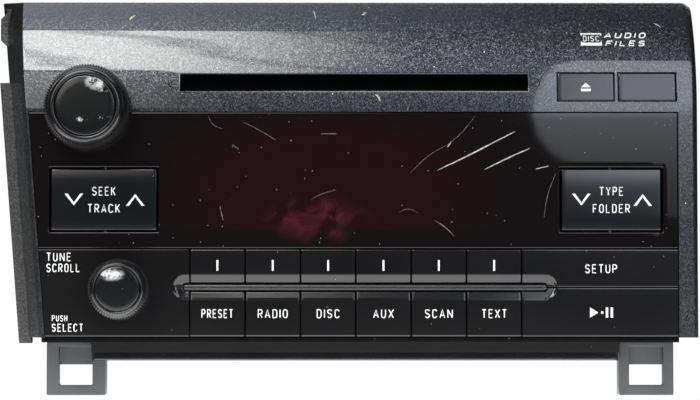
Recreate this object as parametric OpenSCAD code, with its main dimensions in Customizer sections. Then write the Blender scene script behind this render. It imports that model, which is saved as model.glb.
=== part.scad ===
// Double-height car radio with a slot-loading disc drive.
// Frame: +X to the listener's right, +Y into the dashboard, +Z up, millimetres.
// Origin: centre of the chassis, on the plane where the front assembly meets it.

/* [Chassis] */
// Width of the sheet-steel chassis
chassis_w = 178; // [176:1:182]
// Height of the sheet-steel chassis
chassis_h = 100; // [98:1:101]
// Depth of the chassis behind the front assembly
chassis_d = 158; // [156:1:170]
// Thickness of the sheet steel
sheet = 1.0; // [0.8:0.1:1.2]

/* [Front] */
// Distance from the chassis plane to the flat front face
face_depth = 24; // [24:0.5:26]
// Radius of the rolled-back top of the fascia
roll_r = 55; // [52:1:60]
// Height of the fascia's top edge above the chassis centre
top_z = 65.5; // [64:0.5:66]
// Inward lean of the left side towards the bottom, in degrees
left_lean = 4.5; // [4:0.1:5]
// Wall thickness of the painted fascia
shell = 2.2; // [2:0.1:2.4]

/* [Keys and knobs] */
// Gap between neighbouring keys
key_gap = 0.4; // [0.3:0.05:0.5]
// Travel of a push key
key_travel = 0.6; // [0.4:0.1:0.7]
// Outer radius of the volume knob
volume_r = 15.2; // [15:0.1:15.3]
// Outer radius of the tuning knob
tune_r = 10.8; // [10.6:0.1:10.9]

/* [Disc drive] */
// Clear width of the disc slot
slot_w = 124; // [122:1:126]
// Clear height of the disc slot
slot_h = 6.7; // [6:0.1:7]

/* [Hidden] */
$fn = 64;
eps = 0.01;

// Depths, front to back. The front face is negative.
face_y = -face_depth;
lens_back = face_y + 2.2;
key_back = face_y + 5;
plate_front = face_y + 7;
plate_back = face_y + 9;
board_front = -8.6;
board_back = -7;
switch_top = board_front - 3.4;

// Heights of the front's rows.
roll_z = 24;
lens_top = 24.0;
lens_bottom = -24.0;
keys_top = -24.5;
keys_bottom = -55.2;
side_bottom = -55.6;
sill_bottom = -57.3;
split_z = -37.9;
flange_bottom = -63.9;

// Widths of the front's columns.
right_x = 121.8;
right_border_x = 114.5;
first_gap_x = -58.1;
key_pitch = 19.55;
last_gap_x = first_gap_x + 6 * key_pitch;
left_bottom_x = -109.7;
border_left = 0.9;
side_flare = 7.4;
flange_width = 3.6;

// Light bar and the dished groove around it.
bar_x0 = -60.4;
bar_x1 = 68.1;
bar_half = 1.0;
groove_half = 4.25;
groove_depth = 1.3;
groove_x0 = -64.8 + groove_half;
groove_x1 = 72.0 - groove_half;

// Hanger loops under the sill: depth, heights of the window and of the recess above it.
loop_front = -3.5;
loop_back = 4.5;
loop_bottom = -76.4;
window_z0 = -72.8;
window_z1 = -65.4;
recess_y = -1.2;
recess_top = -58.8;

// Disc slot and the two small keys beside it.
slot_z = 34.75;
top_key_z0 = 28.3;
top_key_z1 = 38.2;
eject_x0 = 72.2;
eject_x1 = 92.1;
blank_x0 = 93.8;
blank_x1 = 114.0;

// Rocker keys.
rocker_z0 = -18.2;
rocker_z1 = 4.4;
seek_x0 = -107.6;
seek_x1 = -69.4;
type_x0 = 72.9;
type_x1 = 109.0;
rocker_gap = 0.55;
pivot_y = face_y + 6;
pivot_r = 0.9;

// Knobs.
volume_x = -94.0;
volume_z = 25.3;
tune_x = -82.8;
tune_z = -38.6;
volume_front = face_y - 15;
tune_front = face_y - 12;
shaft_r = 3;

// Disc drive.
disc_y = 82;
disc_z = 33.6;
deck_half = 75;
axle_half = deck_half + 1.5;
deck_z = 18;
roller_y = 12;
roller_r = 3;
rod_z = 25.5;
guide_y = [disc_y - 17, disc_y + 17];
screw_y = disc_y + 24;
sled_x = 26;
sled_half = 9;
upright_x = [15.2, 72];
arm_y = 142;
arm_z = 42;

chassis_y0 = sheet;
chassis_y1 = sheet + chassis_d;
half_w = chassis_w / 2;
half_h = chassis_h / 2;

// X of the left edge of the front face at height z; the face narrows towards the bottom.
function left_front(z) = left_bottom_x - (z - sill_bottom) * tan(left_lean);
function gap_x(i) = first_gap_x + i * key_pitch;

// A flat outline in X and Z, drawn out from y_back forward to y_front.
module slab_y(y_back, y_front) {
    translate([0, y_back, 0]) rotate([90, 0, 0]) linear_extrude(y_back - y_front) children();
}

// A profile in Y and Z, drawn out from x0 to x1.
module run_x(x0, x1) {
    translate([x0, 0, 0]) rotate([90, 0, 90]) linear_extrude(x1 - x0) children();
}

// An outline in X and Y, drawn out from z0 to z1.
module rise_z(z0, z1) {
    translate([0, 0, z0]) linear_extrude(z1 - z0) children();
}

// A block given by two opposite corners.
module block(a, b) {
    translate(a) cube([b[0] - a[0], b[1] - a[1], b[2] - a[2]]);
}

// A cylinder along Y from y0 to y1.
module rod_y(x, z, r, y0, y1, fn = 64) {
    translate([x, y1, z]) rotate([90, 0, 0]) cylinder(r = r, h = y1 - y0, $fn = fn);
}

// A cylinder along X from x0 to x1.
module rod_x(y, z, r, x0, x1) {
    translate([x0, y, z]) rotate([0, 90, 0]) cylinder(r = r, h = x1 - x0);
}

// A cylinder along Z from z0 to z1.
module rod_z(x, y, r, z0, z1, fn = 64) {
    translate([x, y, z0]) cylinder(r = r, h = z1 - z0, $fn = fn);
}

// Rectangle in the X and Z outline, between two corners.
module rect(x0, z0, x1, z1) {
    translate([x0, z0]) square([x1 - x0, z1 - z0]);
}

// A key cap with its four front edges chamfered.
module cap(x0, x1, z0, z1, front, back, chamfer = 0.5) {
    intersection() {
        run_x(x0, x1) polygon([
            [back, z0], [front + chamfer, z0], [front, z0 + chamfer],
            [front, z1 - chamfer], [front + chamfer, z1], [back, z1]
        ]);
        rise_z(z0 - 1, z1 + 1) polygon([
            [x0, back], [x0, front + chamfer], [x0 + chamfer, front],
            [x1 - chamfer, front], [x1, front + chamfer], [x1, back]
        ]);
    }
}

// The room that the light bar needs: a slot with two round ends.
module bar_room(grow) {
    radius = bar_half + grow;
    block([bar_x0 + bar_half, face_y - 2, split_z - radius], [bar_x1 - bar_half, plate_front, split_z + radius]);
    for (x = [bar_x0 + bar_half, bar_x1 - bar_half]) rod_y(x, split_z, radius, face_y - 2, plate_front);
}

// The dished groove that dips towards the light bar, with a cone at each end.
module groove() {
    over = 1;
    slope = (groove_half - bar_half) / groove_depth;
    wide = groove_half + over * slope;
    run_x(groove_x0, groove_x1) polygon([
        [face_y - over, split_z - wide], [face_y + groove_depth, split_z - bar_half],
        [face_y + groove_depth, split_z + bar_half], [face_y - over, split_z + wide]
    ]);
    for (x = [groove_x0, groove_x1])
        translate([x, face_y - over, split_z]) rotate([-90, 0, 0])
            cylinder(r1 = wide, r2 = bar_half, h = groove_depth + over);
}

// The post behind a key that reaches towards its switch.
module key_post(x, z) {
    rod_y(x, z, 1.6, key_back - eps, switch_top - key_travel - 0.15, 32);
}

// Heights of the two rows' key posts.
upper_post_z = -30;
lower_post_z = -47;

// A key of the upper row, cut by the groove and the bar's room.
module upper_key(x0, x1) {
    difference() {
        union() {
            cap(x0 + key_gap / 2, x1 - key_gap / 2, split_z + key_gap / 2, keys_top, face_y, key_back);
            key_post((x0 + x1) / 2, upper_post_z);
        }
        groove();
        bar_room(key_gap);
    }
}

// A key of the lower row.
module lower_key(x0, x1) {
    difference() {
        union() {
            cap(x0 + key_gap / 2, x1 - key_gap / 2, keys_bottom, split_z - key_gap / 2, face_y, key_back);
            key_post((x0 + x1) / 2, lower_post_z);
        }
        groove();
        bar_room(key_gap);
    }
}

module station_key(i) {
    color("#1b1c1e") upper_key(gap_x(i), gap_x(i + 1));
}

module mode_key(i) {
    color("#1b1c1e") lower_key(gap_x(i), gap_x(i + 1));
}

module setup_key() {
    color("#1b1c1e") upper_key(last_gap_x, right_border_x + key_gap / 2);
}

module play_key() {
    color("#1b1c1e") lower_key(last_gap_x, right_border_x + key_gap / 2);
}

// Profile in Y and Z of everything behind the front surface, set back by an inset.
module roll_profile(inset, z0, z1, y_back) {
    difference() {
        translate([face_y + inset, z0]) square([y_back - face_y - inset, z1 - z0]);
        difference() {
            translate([face_y - 1, roll_z]) square([roll_r, z1 - roll_z + 1]);
            translate([face_y + roll_r, roll_z]) circle(r = roll_r - inset, $fn = 200);
        }
    }
}

// Outline of the front, narrowing on the left towards the bottom.
module front_outline(left, right, z0, z1) {
    polygon([
        [left_front(z0) + left, z0], [right, z0],
        [right, z1], [left_front(z1) + left, z1]
    ]);
}

// The same outline with the upper right corner rounded.
module rounded_outline(z0, z1, corner) {
    intersection() {
        front_outline(0, right_x, z0, z1);
        union() {
            rect(-140, z0, right_x, z1 - corner);
            rect(-140, z1 - corner - 1, right_x - corner, z1);
            translate([right_x - corner, z1 - corner]) circle(r = corner);
        }
    }
}

// Outline of the lens and key field, grown by a clearance.
module field_outline(z0, z1, grow = 0) {
    front_outline(border_left - grow, right_border_x + grow, z0 - grow, z1 + grow);
}

// Opening for a key that is cut straight through along Y.
module key_room(x0, x1, z0, z1, grow) {
    slab_y(0, face_y - 5) rect(x0 - grow, z0 - grow, x1 + grow, z1 + grow);
}

// The disc slot and the shallow notch at each end of it.
module slot_room(grow, y0, y1) {
    block([-slot_w / 2 - grow, y0, slot_z - slot_h / 2 - grow], [slot_w / 2 + grow, y1, slot_z + slot_h / 2 + grow]);
}

module slot_notches() {
    notch_r = 1.45;
    reach = slot_w / 2 + 2.2;
    for (side = [-1, 1]) {
        rod_y(side * reach, slot_z, notch_r, face_y - 2, face_y + 2.2, 32);
        block([min(side * reach, side * (reach - 4)), face_y - 2, slot_z - notch_r],
            [max(side * reach, side * (reach - 4)), face_y + 2.2, slot_z + notch_r]);
    }
}

// Painted front shell: a rolled top band, a thin left leg and a wide right leg.
module fascia() {
    color("#3a3d42") difference() {
        intersection() {
            run_x(-140, right_x) roll_profile(0, keys_bottom - 0.4, top_z, 0);
            slab_y(0, face_y - 1) rounded_outline(keys_bottom - 0.4, top_z, 3);
        }
        intersection() {
            run_x(-140, right_x - shell) roll_profile(shell, keys_bottom - 2, top_z - shell, 1);
            slab_y(1, face_y - 1) front_outline(-20, right_x - shell, keys_bottom - 2, top_z - shell);
        }
        slab_y(1, face_y - 1) field_outline(keys_bottom - 2, lens_top, 0.3);
        slot_room(0, face_y - 2, 1);
        slot_notches();
        key_room(eject_x0, eject_x1, top_key_z0, top_key_z1, key_gap);
        key_room(blank_x0, blank_x1, top_key_z0, top_key_z1, key_gap);
        rod_y(volume_x, volume_z, 6, face_y - 1, 0);
    }
}

// A bar that leans with the left side, drawn from a section in X and Y.
module leaning_bar(z0, z1) {
    intersection() {
        translate([left_front(0), 0, 0]) rotate([0, -left_lean, 0]) rise_z(z0 - 12, z1 + 12) children();
        block([-150, -60, z0], [0, 20, z1]);
    }
}

// Where the guide plate's bosses carry the front circuit board.
boss_points = [[-66, 18], [70.5, 24.5], [-66, -50.5], [68, -52], [0, -52]];

// Black carrier: guide plate for the keys, flared left wall, sill and skirt.
module front_base() {
    plate_top = 42;
    color("#202123") difference() {
        union() {
            slab_y(plate_back, plate_front) front_outline(-1, right_x - shell - 0.1, sill_bottom, plate_top);
            // Frame against the chassis, and the walls that join it to the plate.
            difference() {
                slab_y(0, -3) front_outline(0, right_x - shell - 0.1, sill_bottom, top_z - shell - 0.1);
                block([-86, -4, -47], [86, 1, plate_top - 2]);
            }
            block([-105, plate_front, plate_top - 2], [right_x - shell - 0.1, 0, plate_top]);
            block([right_x - shell - 1.8, plate_front, sill_bottom], [right_x - shell - 0.1, 0, plate_top]);
            // Sill under the keys, and the stepped skirt below it.
            slab_y(0, face_y + 1) front_outline(1.2, right_x - 7, sill_bottom, keys_bottom - 0.4);
            block([-94, -10, -61], [95, -3.5, sill_bottom + 0.5]);
            block([-94, -7, flange_bottom], [95, -3.5, -60.5]);
            // Flared wall, its grained flange and the upper lug.
            leaning_bar(sill_bottom, roll_z) polygon([
                [0, face_y + shell], [0.7, face_y + shell],
                [1.8 - side_flare, 0], [-side_flare, 0]
            ]);
            leaning_bar(-57.7, 36.4) polygon([
                [-side_flare - flange_width, -2.2], [1 - side_flare, -2.2],
                [1 - side_flare, 0], [-side_flare - flange_width, 0]
            ]);
            slab_y(0, -1.6) polygon([
                [-120, 49.9], [-126, 49.9], [-128, 51.9],
                [-128, 59.6], [-126, 61.6], [-120, 61.6]
            ]);
            // Floor of the side pocket between the flared wall and the plate.
            slab_y(0, -3) front_outline(1 - side_flare, -95, sill_bottom, top_z - 2.4);
            // Seats for the lens and ears for the rocker pins.
            block([-66, lens_back, 21.5], [71, plate_front, 23.6]);
            block([-66, lens_back, -23.6], [71, plate_front, -22]);
            for (x = [(seek_x0 + seek_x1) / 2, (type_x0 + type_x1) / 2])
                for (z = [rocker_z0 - 3.4, rocker_z1 + 0.8])
                    block([x - 3, -20.6, z], [x + 3, plate_front, z + 2.6]);
            for (p = boss_points) rod_y(p[0], p[1], 3, plate_back - 1, board_front);
        }
        slot_room(0.8, -30, 1);
        block([-60, plate_front - 1, -20.5], [66, plate_back + 1, 20.5]);
        for (i = [0:6]) {
            x = i == 6 ? (last_gap_x + right_border_x) / 2 : gap_x(i) + key_pitch / 2;
            rod_y(x, upper_post_z, 2, plate_front - 1, plate_back + 1, 32);
            rod_y(x, lower_post_z, 2, plate_front - 1, plate_back + 1, 32);
        }
        for (x = [(eject_x0 + eject_x1) / 2, (blank_x0 + blank_x1) / 2])
            rod_y(x, 33.2, 2, plate_front - 1, plate_back + 1, 32);
        for (x = [(seek_x0 + seek_x1) / 2, (type_x0 + type_x1) / 2]) {
            for (side = [-1, 1]) rod_y(x + side * 15, -7, 2.6, plate_front - 1, plate_back + 1, 32);
            rod_z(x, pivot_y, pivot_r, rocker_z0 - 2.6, rocker_z1 + 2.6);
            block([x - 3.6, plate_front - 0.1, rocker_z0 - 0.4], [x + 3.6, plate_back + 0.1, rocker_z1 + 0.4]);
        }
        rod_y(volume_x, volume_z, 6.2, face_y - 1, plate_back + 1);
        rod_y(tune_x, tune_z, 6.2, face_y - 1, plate_back + 1);
        // The carrier's corners end level with the fascia, either side of the sill.
        block([-116, -30, sill_bottom - 2], [-110.9, 1, side_bottom]);
        block([right_x - 6.4, -30, sill_bottom - 2], [right_x + 1, 1, side_bottom]);
        // Snap windows along the skirt, one at each key gap.
        for (i = [-1:7]) block([gap_x(i) - 0.8, -8, -62.8], [gap_x(i) + 0.8, -6, -61.8]);
    }
}

// Square hanger loop under the sill, with a recess above its window and a hollow back.
module hanger_loop(outer_x, window_x) {
    past = 2.5;
    difference() {
        block([outer_x[0], loop_front, loop_bottom], [outer_x[1], loop_back, sill_bottom]);
        block([window_x[0], loop_front - past, window_z0], [window_x[1], loop_back + past, window_z1]);
        block([window_x[0], loop_front - past, window_z1 - 0.1], [window_x[1], recess_y, recess_top]);
        block([outer_x[0] + 2, 1.5, loop_bottom + 2], [outer_x[1] - 2, loop_back + past, sill_bottom - 2]);
    }
}

module left_hanger_loop() {
    color("#8b8e92") hanger_loop([-110.6, -89.4], [-106.2, -94.1]);
}

module right_hanger_loop() {
    color("#8b8e92") hanger_loop([95.6, 115.2], [99.2, 111.5]);
}

// Smoked window around the display and the rocker keys.
module display_lens() {
    color("#1a0d0e") difference() {
        slab_y(lens_back, face_y) field_outline(lens_bottom, lens_top);
        key_room(seek_x0, seek_x1, rocker_z0, rocker_z1, 0);
        key_room(type_x0, type_x1, rocker_z0, rocker_z1, 0);
        rod_y(volume_x, volume_z, 6, face_y - 1, lens_back + 1);
    }
}

// Fixed panel around the tuning knob.
module tune_panel() {
    x1 = first_gap_x - key_gap / 2;
    color("#1b1c1e") difference() {
        slab_y(plate_front, face_y) front_outline(border_left, x1, keys_bottom, keys_top);
        slab_y(plate_front + 1, face_y + 2.4) front_outline(border_left + 1.8, x1 - 1.8, keys_bottom + 1.8, keys_top - 1.8);
        groove();
        rod_y(tune_x, tune_z, 6, face_y - 1, plate_front);
        bar_room(0);
    }
}

// Slim bar between the two rows of keys.
module light_bar() {
    color("#9a9ea3") {
        block([bar_x0 + bar_half, face_y, split_z - bar_half], [bar_x1 - bar_half, plate_front, split_z + bar_half]);
        for (x = [bar_x0 + bar_half, bar_x1 - bar_half]) rod_y(x, split_z, bar_half, face_y, plate_front);
    }
}

// Display: a glass cell in a frame that reaches back to the circuit board.
module display_module() {
    color("#27292c") difference() {
        block([-59.5, -20.8, -20], [65.5, board_front, 20]);
        block([-54, -22, -15], [60, -20, 15]);
    }
}

// Profile of a knob along its axis: skirt, shoulder, front ring and the dish for its cap.
module knob(x, z, r, front, cap_r) {
    back = face_y - 1.2;
    translate([x, 0, z]) rotate([90, 0, 0]) difference() {
        rotate_extrude() polygon([
            [0, -back], [r, -back], [r, -front - 4.2], [r - 0.5, -front - 3.4],
            [r - 1.1, -front - 0.4], [r - 1.5, -front], [cap_r + 0.3, -front],
            [cap_r + 0.3, -front - 1.8], [0, -front - 1.8]
        ]);
        translate([0, 0, -back - 1]) difference() {
            cylinder(r = r - 1.8, h = -front + back - 3.2);
            cylinder(r = shaft_r + 2, h = -front + back - 3.2);
        }
        translate([0, 0, -back - 1]) cylinder(r = shaft_r, h = -front + back - 2);
    }
}

// Slightly domed round cap set into the knob's dish.
module knob_cap(x, z, front, cap_r) {
    translate([x, 0, z]) rotate([90, 0, 0]) rotate_extrude() polygon([
        [0, -front - 1.8], [cap_r, -front - 1.8], [cap_r, -front - 0.5],
        [cap_r - 0.5, -front - 0.2], [cap_r * 0.6, -front], [0, -front + 0.1]
    ]);
}

// Encoder: a square housing on the circuit board with a round bushing.
module encoder(x, z) {
    difference() {
        union() {
            block([x - 6.5, -14.6, z - 6.5], [x + 6.5, board_front, z + 6.5]);
            rod_y(x, z, 5.6, -20.4, -14.5);
        }
        rod_y(x, z, 4.25, -21, -9.4);
    }
}

module encoder_rotor(x, z) {
    difference() {
        rod_y(x, z, 4.2, -19.4, -11.6);
        rod_y(x, z, shaft_r + 0.05, -20, -11);
    }
}

module encoder_shaft(x, z, front) {
    rod_y(x, z, shaft_r, front + 3, -11.6);
}

module volume_knob() {
    color("#2a2b2d") knob(volume_x, volume_z, volume_r, volume_front, 10.6);
}

module volume_knob_cap() {
    color("#1d1e20") knob_cap(volume_x, volume_z, volume_front, 10.6);
}

module volume_shaft() {
    color("#b8bbbe") encoder_shaft(volume_x, volume_z, volume_front);
}

module volume_rotor() {
    color("#d8d4c4") encoder_rotor(volume_x, volume_z);
}

module volume_encoder() {
    color("#77797c") encoder(volume_x, volume_z);
}

module tune_knob() {
    color("#2a2b2d") knob(tune_x, tune_z, tune_r, tune_front, 7.9);
}

module tune_knob_cap() {
    color("#1d1e20") knob_cap(tune_x, tune_z, tune_front, 7.9);
}

module tune_shaft() {
    color("#b8bbbe") encoder_shaft(tune_x, tune_z, tune_front);
}

module tune_rotor() {
    color("#d8d4c4") encoder_rotor(tune_x, tune_z);
}

module tune_encoder() {
    color("#77797c") encoder(tune_x, tune_z);
}

// Rocker key: a wide cap that tips about an upright pin behind its middle.
module rocker(x0, x1) {
    middle = (x0 + x1) / 2;
    difference() {
        union() {
            cap(x0 + rocker_gap, x1 - rocker_gap, rocker_z0 + rocker_gap, rocker_z1 - rocker_gap, face_y, -20.4);
            block([middle - 2.2, -20.5, rocker_z0 + rocker_gap], [middle + 2.2, -16.2, rocker_z1 - rocker_gap]);
            for (side = [-1, 1]) rod_y(middle + side * 15, -7, 1.6, -20.5, switch_top - 0.75, 32);
        }
        rod_z(middle, pivot_y, pivot_r + 0.05, rocker_z0 - 1, rocker_z1 + 1);
    }
}

module seek_rocker() {
    color("#1b1c1e") rocker(seek_x0, seek_x1);
}

module type_rocker() {
    color("#1b1c1e") rocker(type_x0, type_x1);
}

module rocker_pins() {
    color("#b8bbbe") for (x = [(seek_x0 + seek_x1) / 2, (type_x0 + type_x1) / 2])
        rod_z(x, pivot_y, pivot_r, rocker_z0 - 2.6, rocker_z1 + 2.6);
}

// Small key beside the disc slot; its front follows the roll of the fascia.
module top_key(x0, x1) {
    run_x(x0, x1) intersection() {
        roll_profile(0, top_key_z0, top_key_z1, -18.6);
        translate([face_y - 1, top_key_z0]) square([20, top_key_z1 - top_key_z0]);
    }
    rod_y((x0 + x1) / 2, 33.2, 1.6, -18.7, switch_top - key_travel - 0.15, 32);
}

module eject_key() {
    color("#1b1c1e") top_key(eject_x0, eject_x1);
}

module blank_key() {
    color("#1b1c1e") top_key(blank_x0, blank_x1);
}

module station_key_1() {
    station_key(0);
}

module station_key_2() {
    station_key(1);
}

module station_key_3() {
    station_key(2);
}

module station_key_4() {
    station_key(3);
}

module station_key_5() {
    station_key(4);
}

module station_key_6() {
    station_key(5);
}

module preset_key() {
    mode_key(0);
}

module radio_key() {
    mode_key(1);
}

module disc_key() {
    mode_key(2);
}

module aux_key() {
    mode_key(3);
}

module scan_key() {
    mode_key(4);
}

module text_key() {
    mode_key(5);
}

// Circuit board behind the front, with an upper tab at each end.
module front_pcb() {
    color("#1f5c37") difference() {
        slab_y(board_back, board_front) union() {
            rect(-102, -54, 112, 28);
            rect(-104, 10, -72, 38.5);
            rect(68, 20, 116, 38.5);
        }
        block([-56, board_front - 1, -16], [-40, board_back + 1, -12]);
    }
}

// One small push switch under every key, two under each rocker.
module tact_switch(x, z) {
    block([x - 3, board_front - 2, z - 3], [x + 3, board_front, z + 3]);
    rod_y(x, z, 1.7, switch_top, board_front - 1.9, 32);
}

module tact_switches() {
    color("#3c3f43") {
        for (i = [0:6]) {
            x = i == 6 ? (last_gap_x + right_border_x) / 2 : gap_x(i) + key_pitch / 2;
            tact_switch(x, upper_post_z);
            tact_switch(x, lower_post_z);
        }
        for (x = [(eject_x0 + eject_x1) / 2, (blank_x0 + blank_x1) / 2]) tact_switch(x, 33.2);
        for (x = [(seek_x0 + seek_x1) / 2, (type_x0 + type_x1) / 2])
            for (side = [-1, 1]) tact_switch(x + side * 15, -7);
    }
}

// Dust felt above and below the disc's path, glued behind the fascia's slot.
module slot_felt() {
    color("#121212") for (side = [-1, 1]) {
        z_mouth = slot_z + side * 2.4;
        z_edge = slot_z + side * (slot_h / 2 + 0.8);
        block([-slot_w / 2 - 0.8, plate_front, min(z_mouth, z_edge)], [slot_w / 2 + 0.8, plate_back, max(z_mouth, z_edge)]);
    }
}

// Steel plate between the front assembly and the chassis.
module front_plate() {
    color("#a9adb0") difference() {
        block([-half_w, 0, -half_h], [half_w, sheet, half_h]);
        slot_room(1.5, -1, 3);
        block([-40, -1, -40], [40, 3, -12]);
        for (x = [-70, 70]) for (z = [-30, 10]) rod_y(x, z, 1.7, -1, 3, 32);
    }
}

// Where the chassis screws and the side mounting holes sit.
side_hole_y = [45, 105];
side_hole_z = [-25, 25];
cover_screw_y = [20, 80, 140];

// Folded sheet tray: floor, two sides, rear wall and inward top flanges.
module chassis_tray() {
    y0 = chassis_y0;
    y1 = chassis_y1;
    color("#a9adb0") difference() {
        union() {
            block([-half_w, y0, -half_h], [half_w, y1, -half_h + sheet]);
            for (side = [-1, 1]) {
                block([side > 0 ? half_w - sheet : -half_w, y0, -half_h], [side > 0 ? half_w : -half_w + sheet, y1, half_h - sheet]);
                block([side > 0 ? half_w - 9 : -half_w, y0, half_h - 2 * sheet], [side > 0 ? half_w : -half_w + 9, y1, half_h - sheet]);
            }
            block([-half_w, y1 - sheet, -half_h], [half_w, y1, half_h - sheet]);
        }
        // Side mounting holes and cover screws.
        for (y = side_hole_y) for (z = side_hole_z) rod_x(y, z, 2.1, -half_w - 1, half_w + 1);
        for (side = [-1, 1]) for (y = cover_screw_y) rod_z(side * (half_w - 5), y, 1.6, half_h - 3, half_h);
        // Cooling slots in the sides and the floor.
        for (i = [0:7]) block([-half_w - 1, 62 + i * 4.5, -38], [half_w + 1, 64 + i * 4.5, -32]);
        for (i = [0:9]) block([-40 + i * 8, 40, -half_h - 1], [-36 + i * 8, 70, -half_h + 2]);
        // Rear openings.
        block([-30.2, y1 - 2, -30.2], [30.2, y1 + 1, -7.8]);
        rod_y(-62, -22, 5.6, y1 - 2, y1 + 1);
        rod_y(0, 25, 2.1, y1 - 2, y1 + 1);
        for (x = [46, 78]) rod_y(x, 20, 1.6, y1 - 2, y1 + 1, 32);
    }
}

module top_cover() {
    color("#b4b8bb") difference() {
        block([-half_w, chassis_y0, half_h - sheet], [half_w, chassis_y1, half_h]);
        for (side = [-1, 1]) for (y = cover_screw_y) rod_z(side * (half_w - 5), y, 1.6, half_h - 2, half_h + 1);
        for (i = [0:9]) block([-58 + i * 12, 118, half_h - 2], [-54 + i * 12, 148, half_h + 1]);
    }
}

module chassis_screws() {
    color("#c9c6b8") {
        for (side = [-1, 1]) for (y = cover_screw_y) {
            rod_z(side * (half_w - 5), y, 2.8, half_h, half_h + 1.8);
            rod_z(side * (half_w - 5), y, 1.5, half_h - 5, half_h + 0.1);
        }
        for (x = [46, 78]) {
            rod_y(x, 20, 1.5, chassis_y1 - 5, chassis_y1 + 4.1);
            rod_y(x, 20, 3, chassis_y1 + 4, chassis_y1 + 6);
        }
    }
}

// Finned aluminium block on the rear wall.
module heat_sink() {
    y0 = chassis_y1;
    color("#9fa3a6") difference() {
        union() {
            block([38, y0, -34], [86, y0 + 4, 34]);
            for (i = [0:8]) block([39 + i * 5.5, y0 + 3.9, -34], [40.8 + i * 5.5, y0 + 16, 34]);
        }
        for (x = [46, 78]) {
            rod_y(x, 20, 1.6, y0 - 1, y0 + 5, 32);
            rod_y(x, 20, 4, y0 + 4, y0 + 17);
        }
    }
}

board_z = -42;

// Main circuit board on pillars above the floor.
module main_pcb() {
    color("#1f5c37") {
        block([-82, 8, board_z - 1.6], [82, 156, board_z]);
        for (x = [-74, 74]) for (y = [16, 144]) rod_z(x, y, 2.5, -half_h + sheet, board_z - 1.5);
    }
}

// Screened can around the tuner.
module tuner_can() {
    color("#c3c6c8") difference() {
        block([-78, 96, board_z], [-44, 150, board_z + 15]);
        for (x = [-71, -62, -53]) for (y = [106, 122, 138]) rod_z(x, y, 2, board_z + 14, board_z + 16, 32);
        block([-77, 97, board_z - 1], [-45, 149, board_z + 14]);
    }
}

module power_amp() {
    color("#1a1a1b") {
        block([48, 152.4, -34], [76, chassis_y1 - sheet, -16]);
        for (i = [0:12]) block([50 + i * 1.9, 154, board_z], [50.9 + i * 1.9, 154.6, -33.9]);
    }
}

module capacitors() {
    color("#2b2f45") {
        for (i = [0:3]) rod_z(-20 + i * 17, 118, 5, board_z, board_z + 16);
        for (i = [0:5]) rod_z(-60 + i * 12, 60, 3.2, board_z, board_z + 9);
    }
}

// Rear connector block with two open cavities.
module main_connector() {
    color("#d9d6cc") difference() {
        block([-30, 140, board_z], [30, chassis_y1 + 6, -8]);
        block([-28, 150, -29], [-2, chassis_y1 + 8, -10]);
        block([2, 150, -29], [28, chassis_y1 + 8, -10]);
        block([-31, chassis_y1 - sheet - 0.1, board_z - 1], [31, chassis_y1 + 8, -30]);
    }
}

// Round antenna socket through the rear wall.
module antenna_socket() {
    y1 = chassis_y1;
    color("#c3c6c8") difference() {
        union() {
            rod_y(-62, -22, 5.5, 150, y1 + 9);
            rod_y(-62, -22, 7.5, y1, y1 + 1.5);
            block([-68, 150.2, board_z], [-56, y1 - sheet - 0.2, -22]);
        }
        rod_y(-62, -22, 4.2, 152, y1 + 10);
    }
}

// Folded deck of the disc drive, standing on four legs.
module mech_deck() {
    color("#b4b8bb") difference() {
        union() {
            block([-deck_half, 6, deck_z], [deck_half, 150, deck_z + 1.2]);
            for (side = [-1, 1]) {
                x0 = side > 0 ? deck_half - 1.2 : -deck_half;
                block([x0, 6, deck_z], [x0 + 1.2, 20, 37]);
                block([x0, 128, deck_z], [x0 + 1.2, 150, 45]);
                foot = half_w - sheet;
                for (y = [10, 122])
                    block([min(x0, side * foot), y, deck_z], [max(x0, side * foot), y + 20, deck_z + 1.2]);
            }
            // Uprights that hold the guide rods and the lead screw.
            for (x = upright_x)
                block([x, disc_y - 22, deck_z], [x + 1.2, disc_y + 30, rod_z + 3]);
            // Bracket of the feed motor.
            block([-deck_half, 30, deck_z], [-deck_half + 16, 31.2, 34]);
        }
        // Hole under the spindle motor, and the long slot under the sled.
        rod_z(0, disc_y, 5, deck_z - 1, deck_z + 3);
        block([24, disc_y - 9, deck_z - 1], [60, disc_y + 9, deck_z + 3]);
        // Bearings.
        for (y = guide_y) rod_x(y, rod_z, 1.5, 10, 74);
        rod_x(screw_y, rod_z, 1.3, 10, 74);
        rod_x(roller_y, disc_z - 0.2 - roller_r, 1.3, -axle_half, axle_half);
        rod_x(arm_y, arm_z, 1.3, -axle_half, axle_half);
        rod_y(-deck_half + 9, 27, 1.8, 29, 32, 32);
    }
}

// Rubber feed roller on its steel axle.
module feed_roller() {
    z = disc_z - 0.2 - roller_r;
    color("#1c1c1c") {
        rod_x(roller_y, z, roller_r, -60, 60);
        rod_x(roller_y, z, 1.25, -axle_half, axle_half);
    }
}

module feed_motor() {
    color("#8f9396") {
        rod_y(-deck_half + 9, 27, 6.5, 31.2, 50);
        rod_y(-deck_half + 9, 27, 1, 24, 31.3, 32);
    }
}

module spindle_motor() {
    color("#8f9396") difference() {
        rod_z(0, disc_y, 12, deck_z + 1.2, deck_z + 8);
        rod_z(0, disc_y, 1.3, deck_z, deck_z + 9);
    }
}

// Turntable with the centring hub for the disc and its spindle.
module turntable() {
    color("#2d2e30") {
        rod_z(0, disc_y, 13, disc_z - 2.4, disc_z);
        rod_z(0, disc_y, 7.4, disc_z - 0.1, disc_z + 1.6);
        rod_z(0, disc_y, 1.25, deck_z + 1.4, disc_z - 2.3);
    }
}

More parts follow.
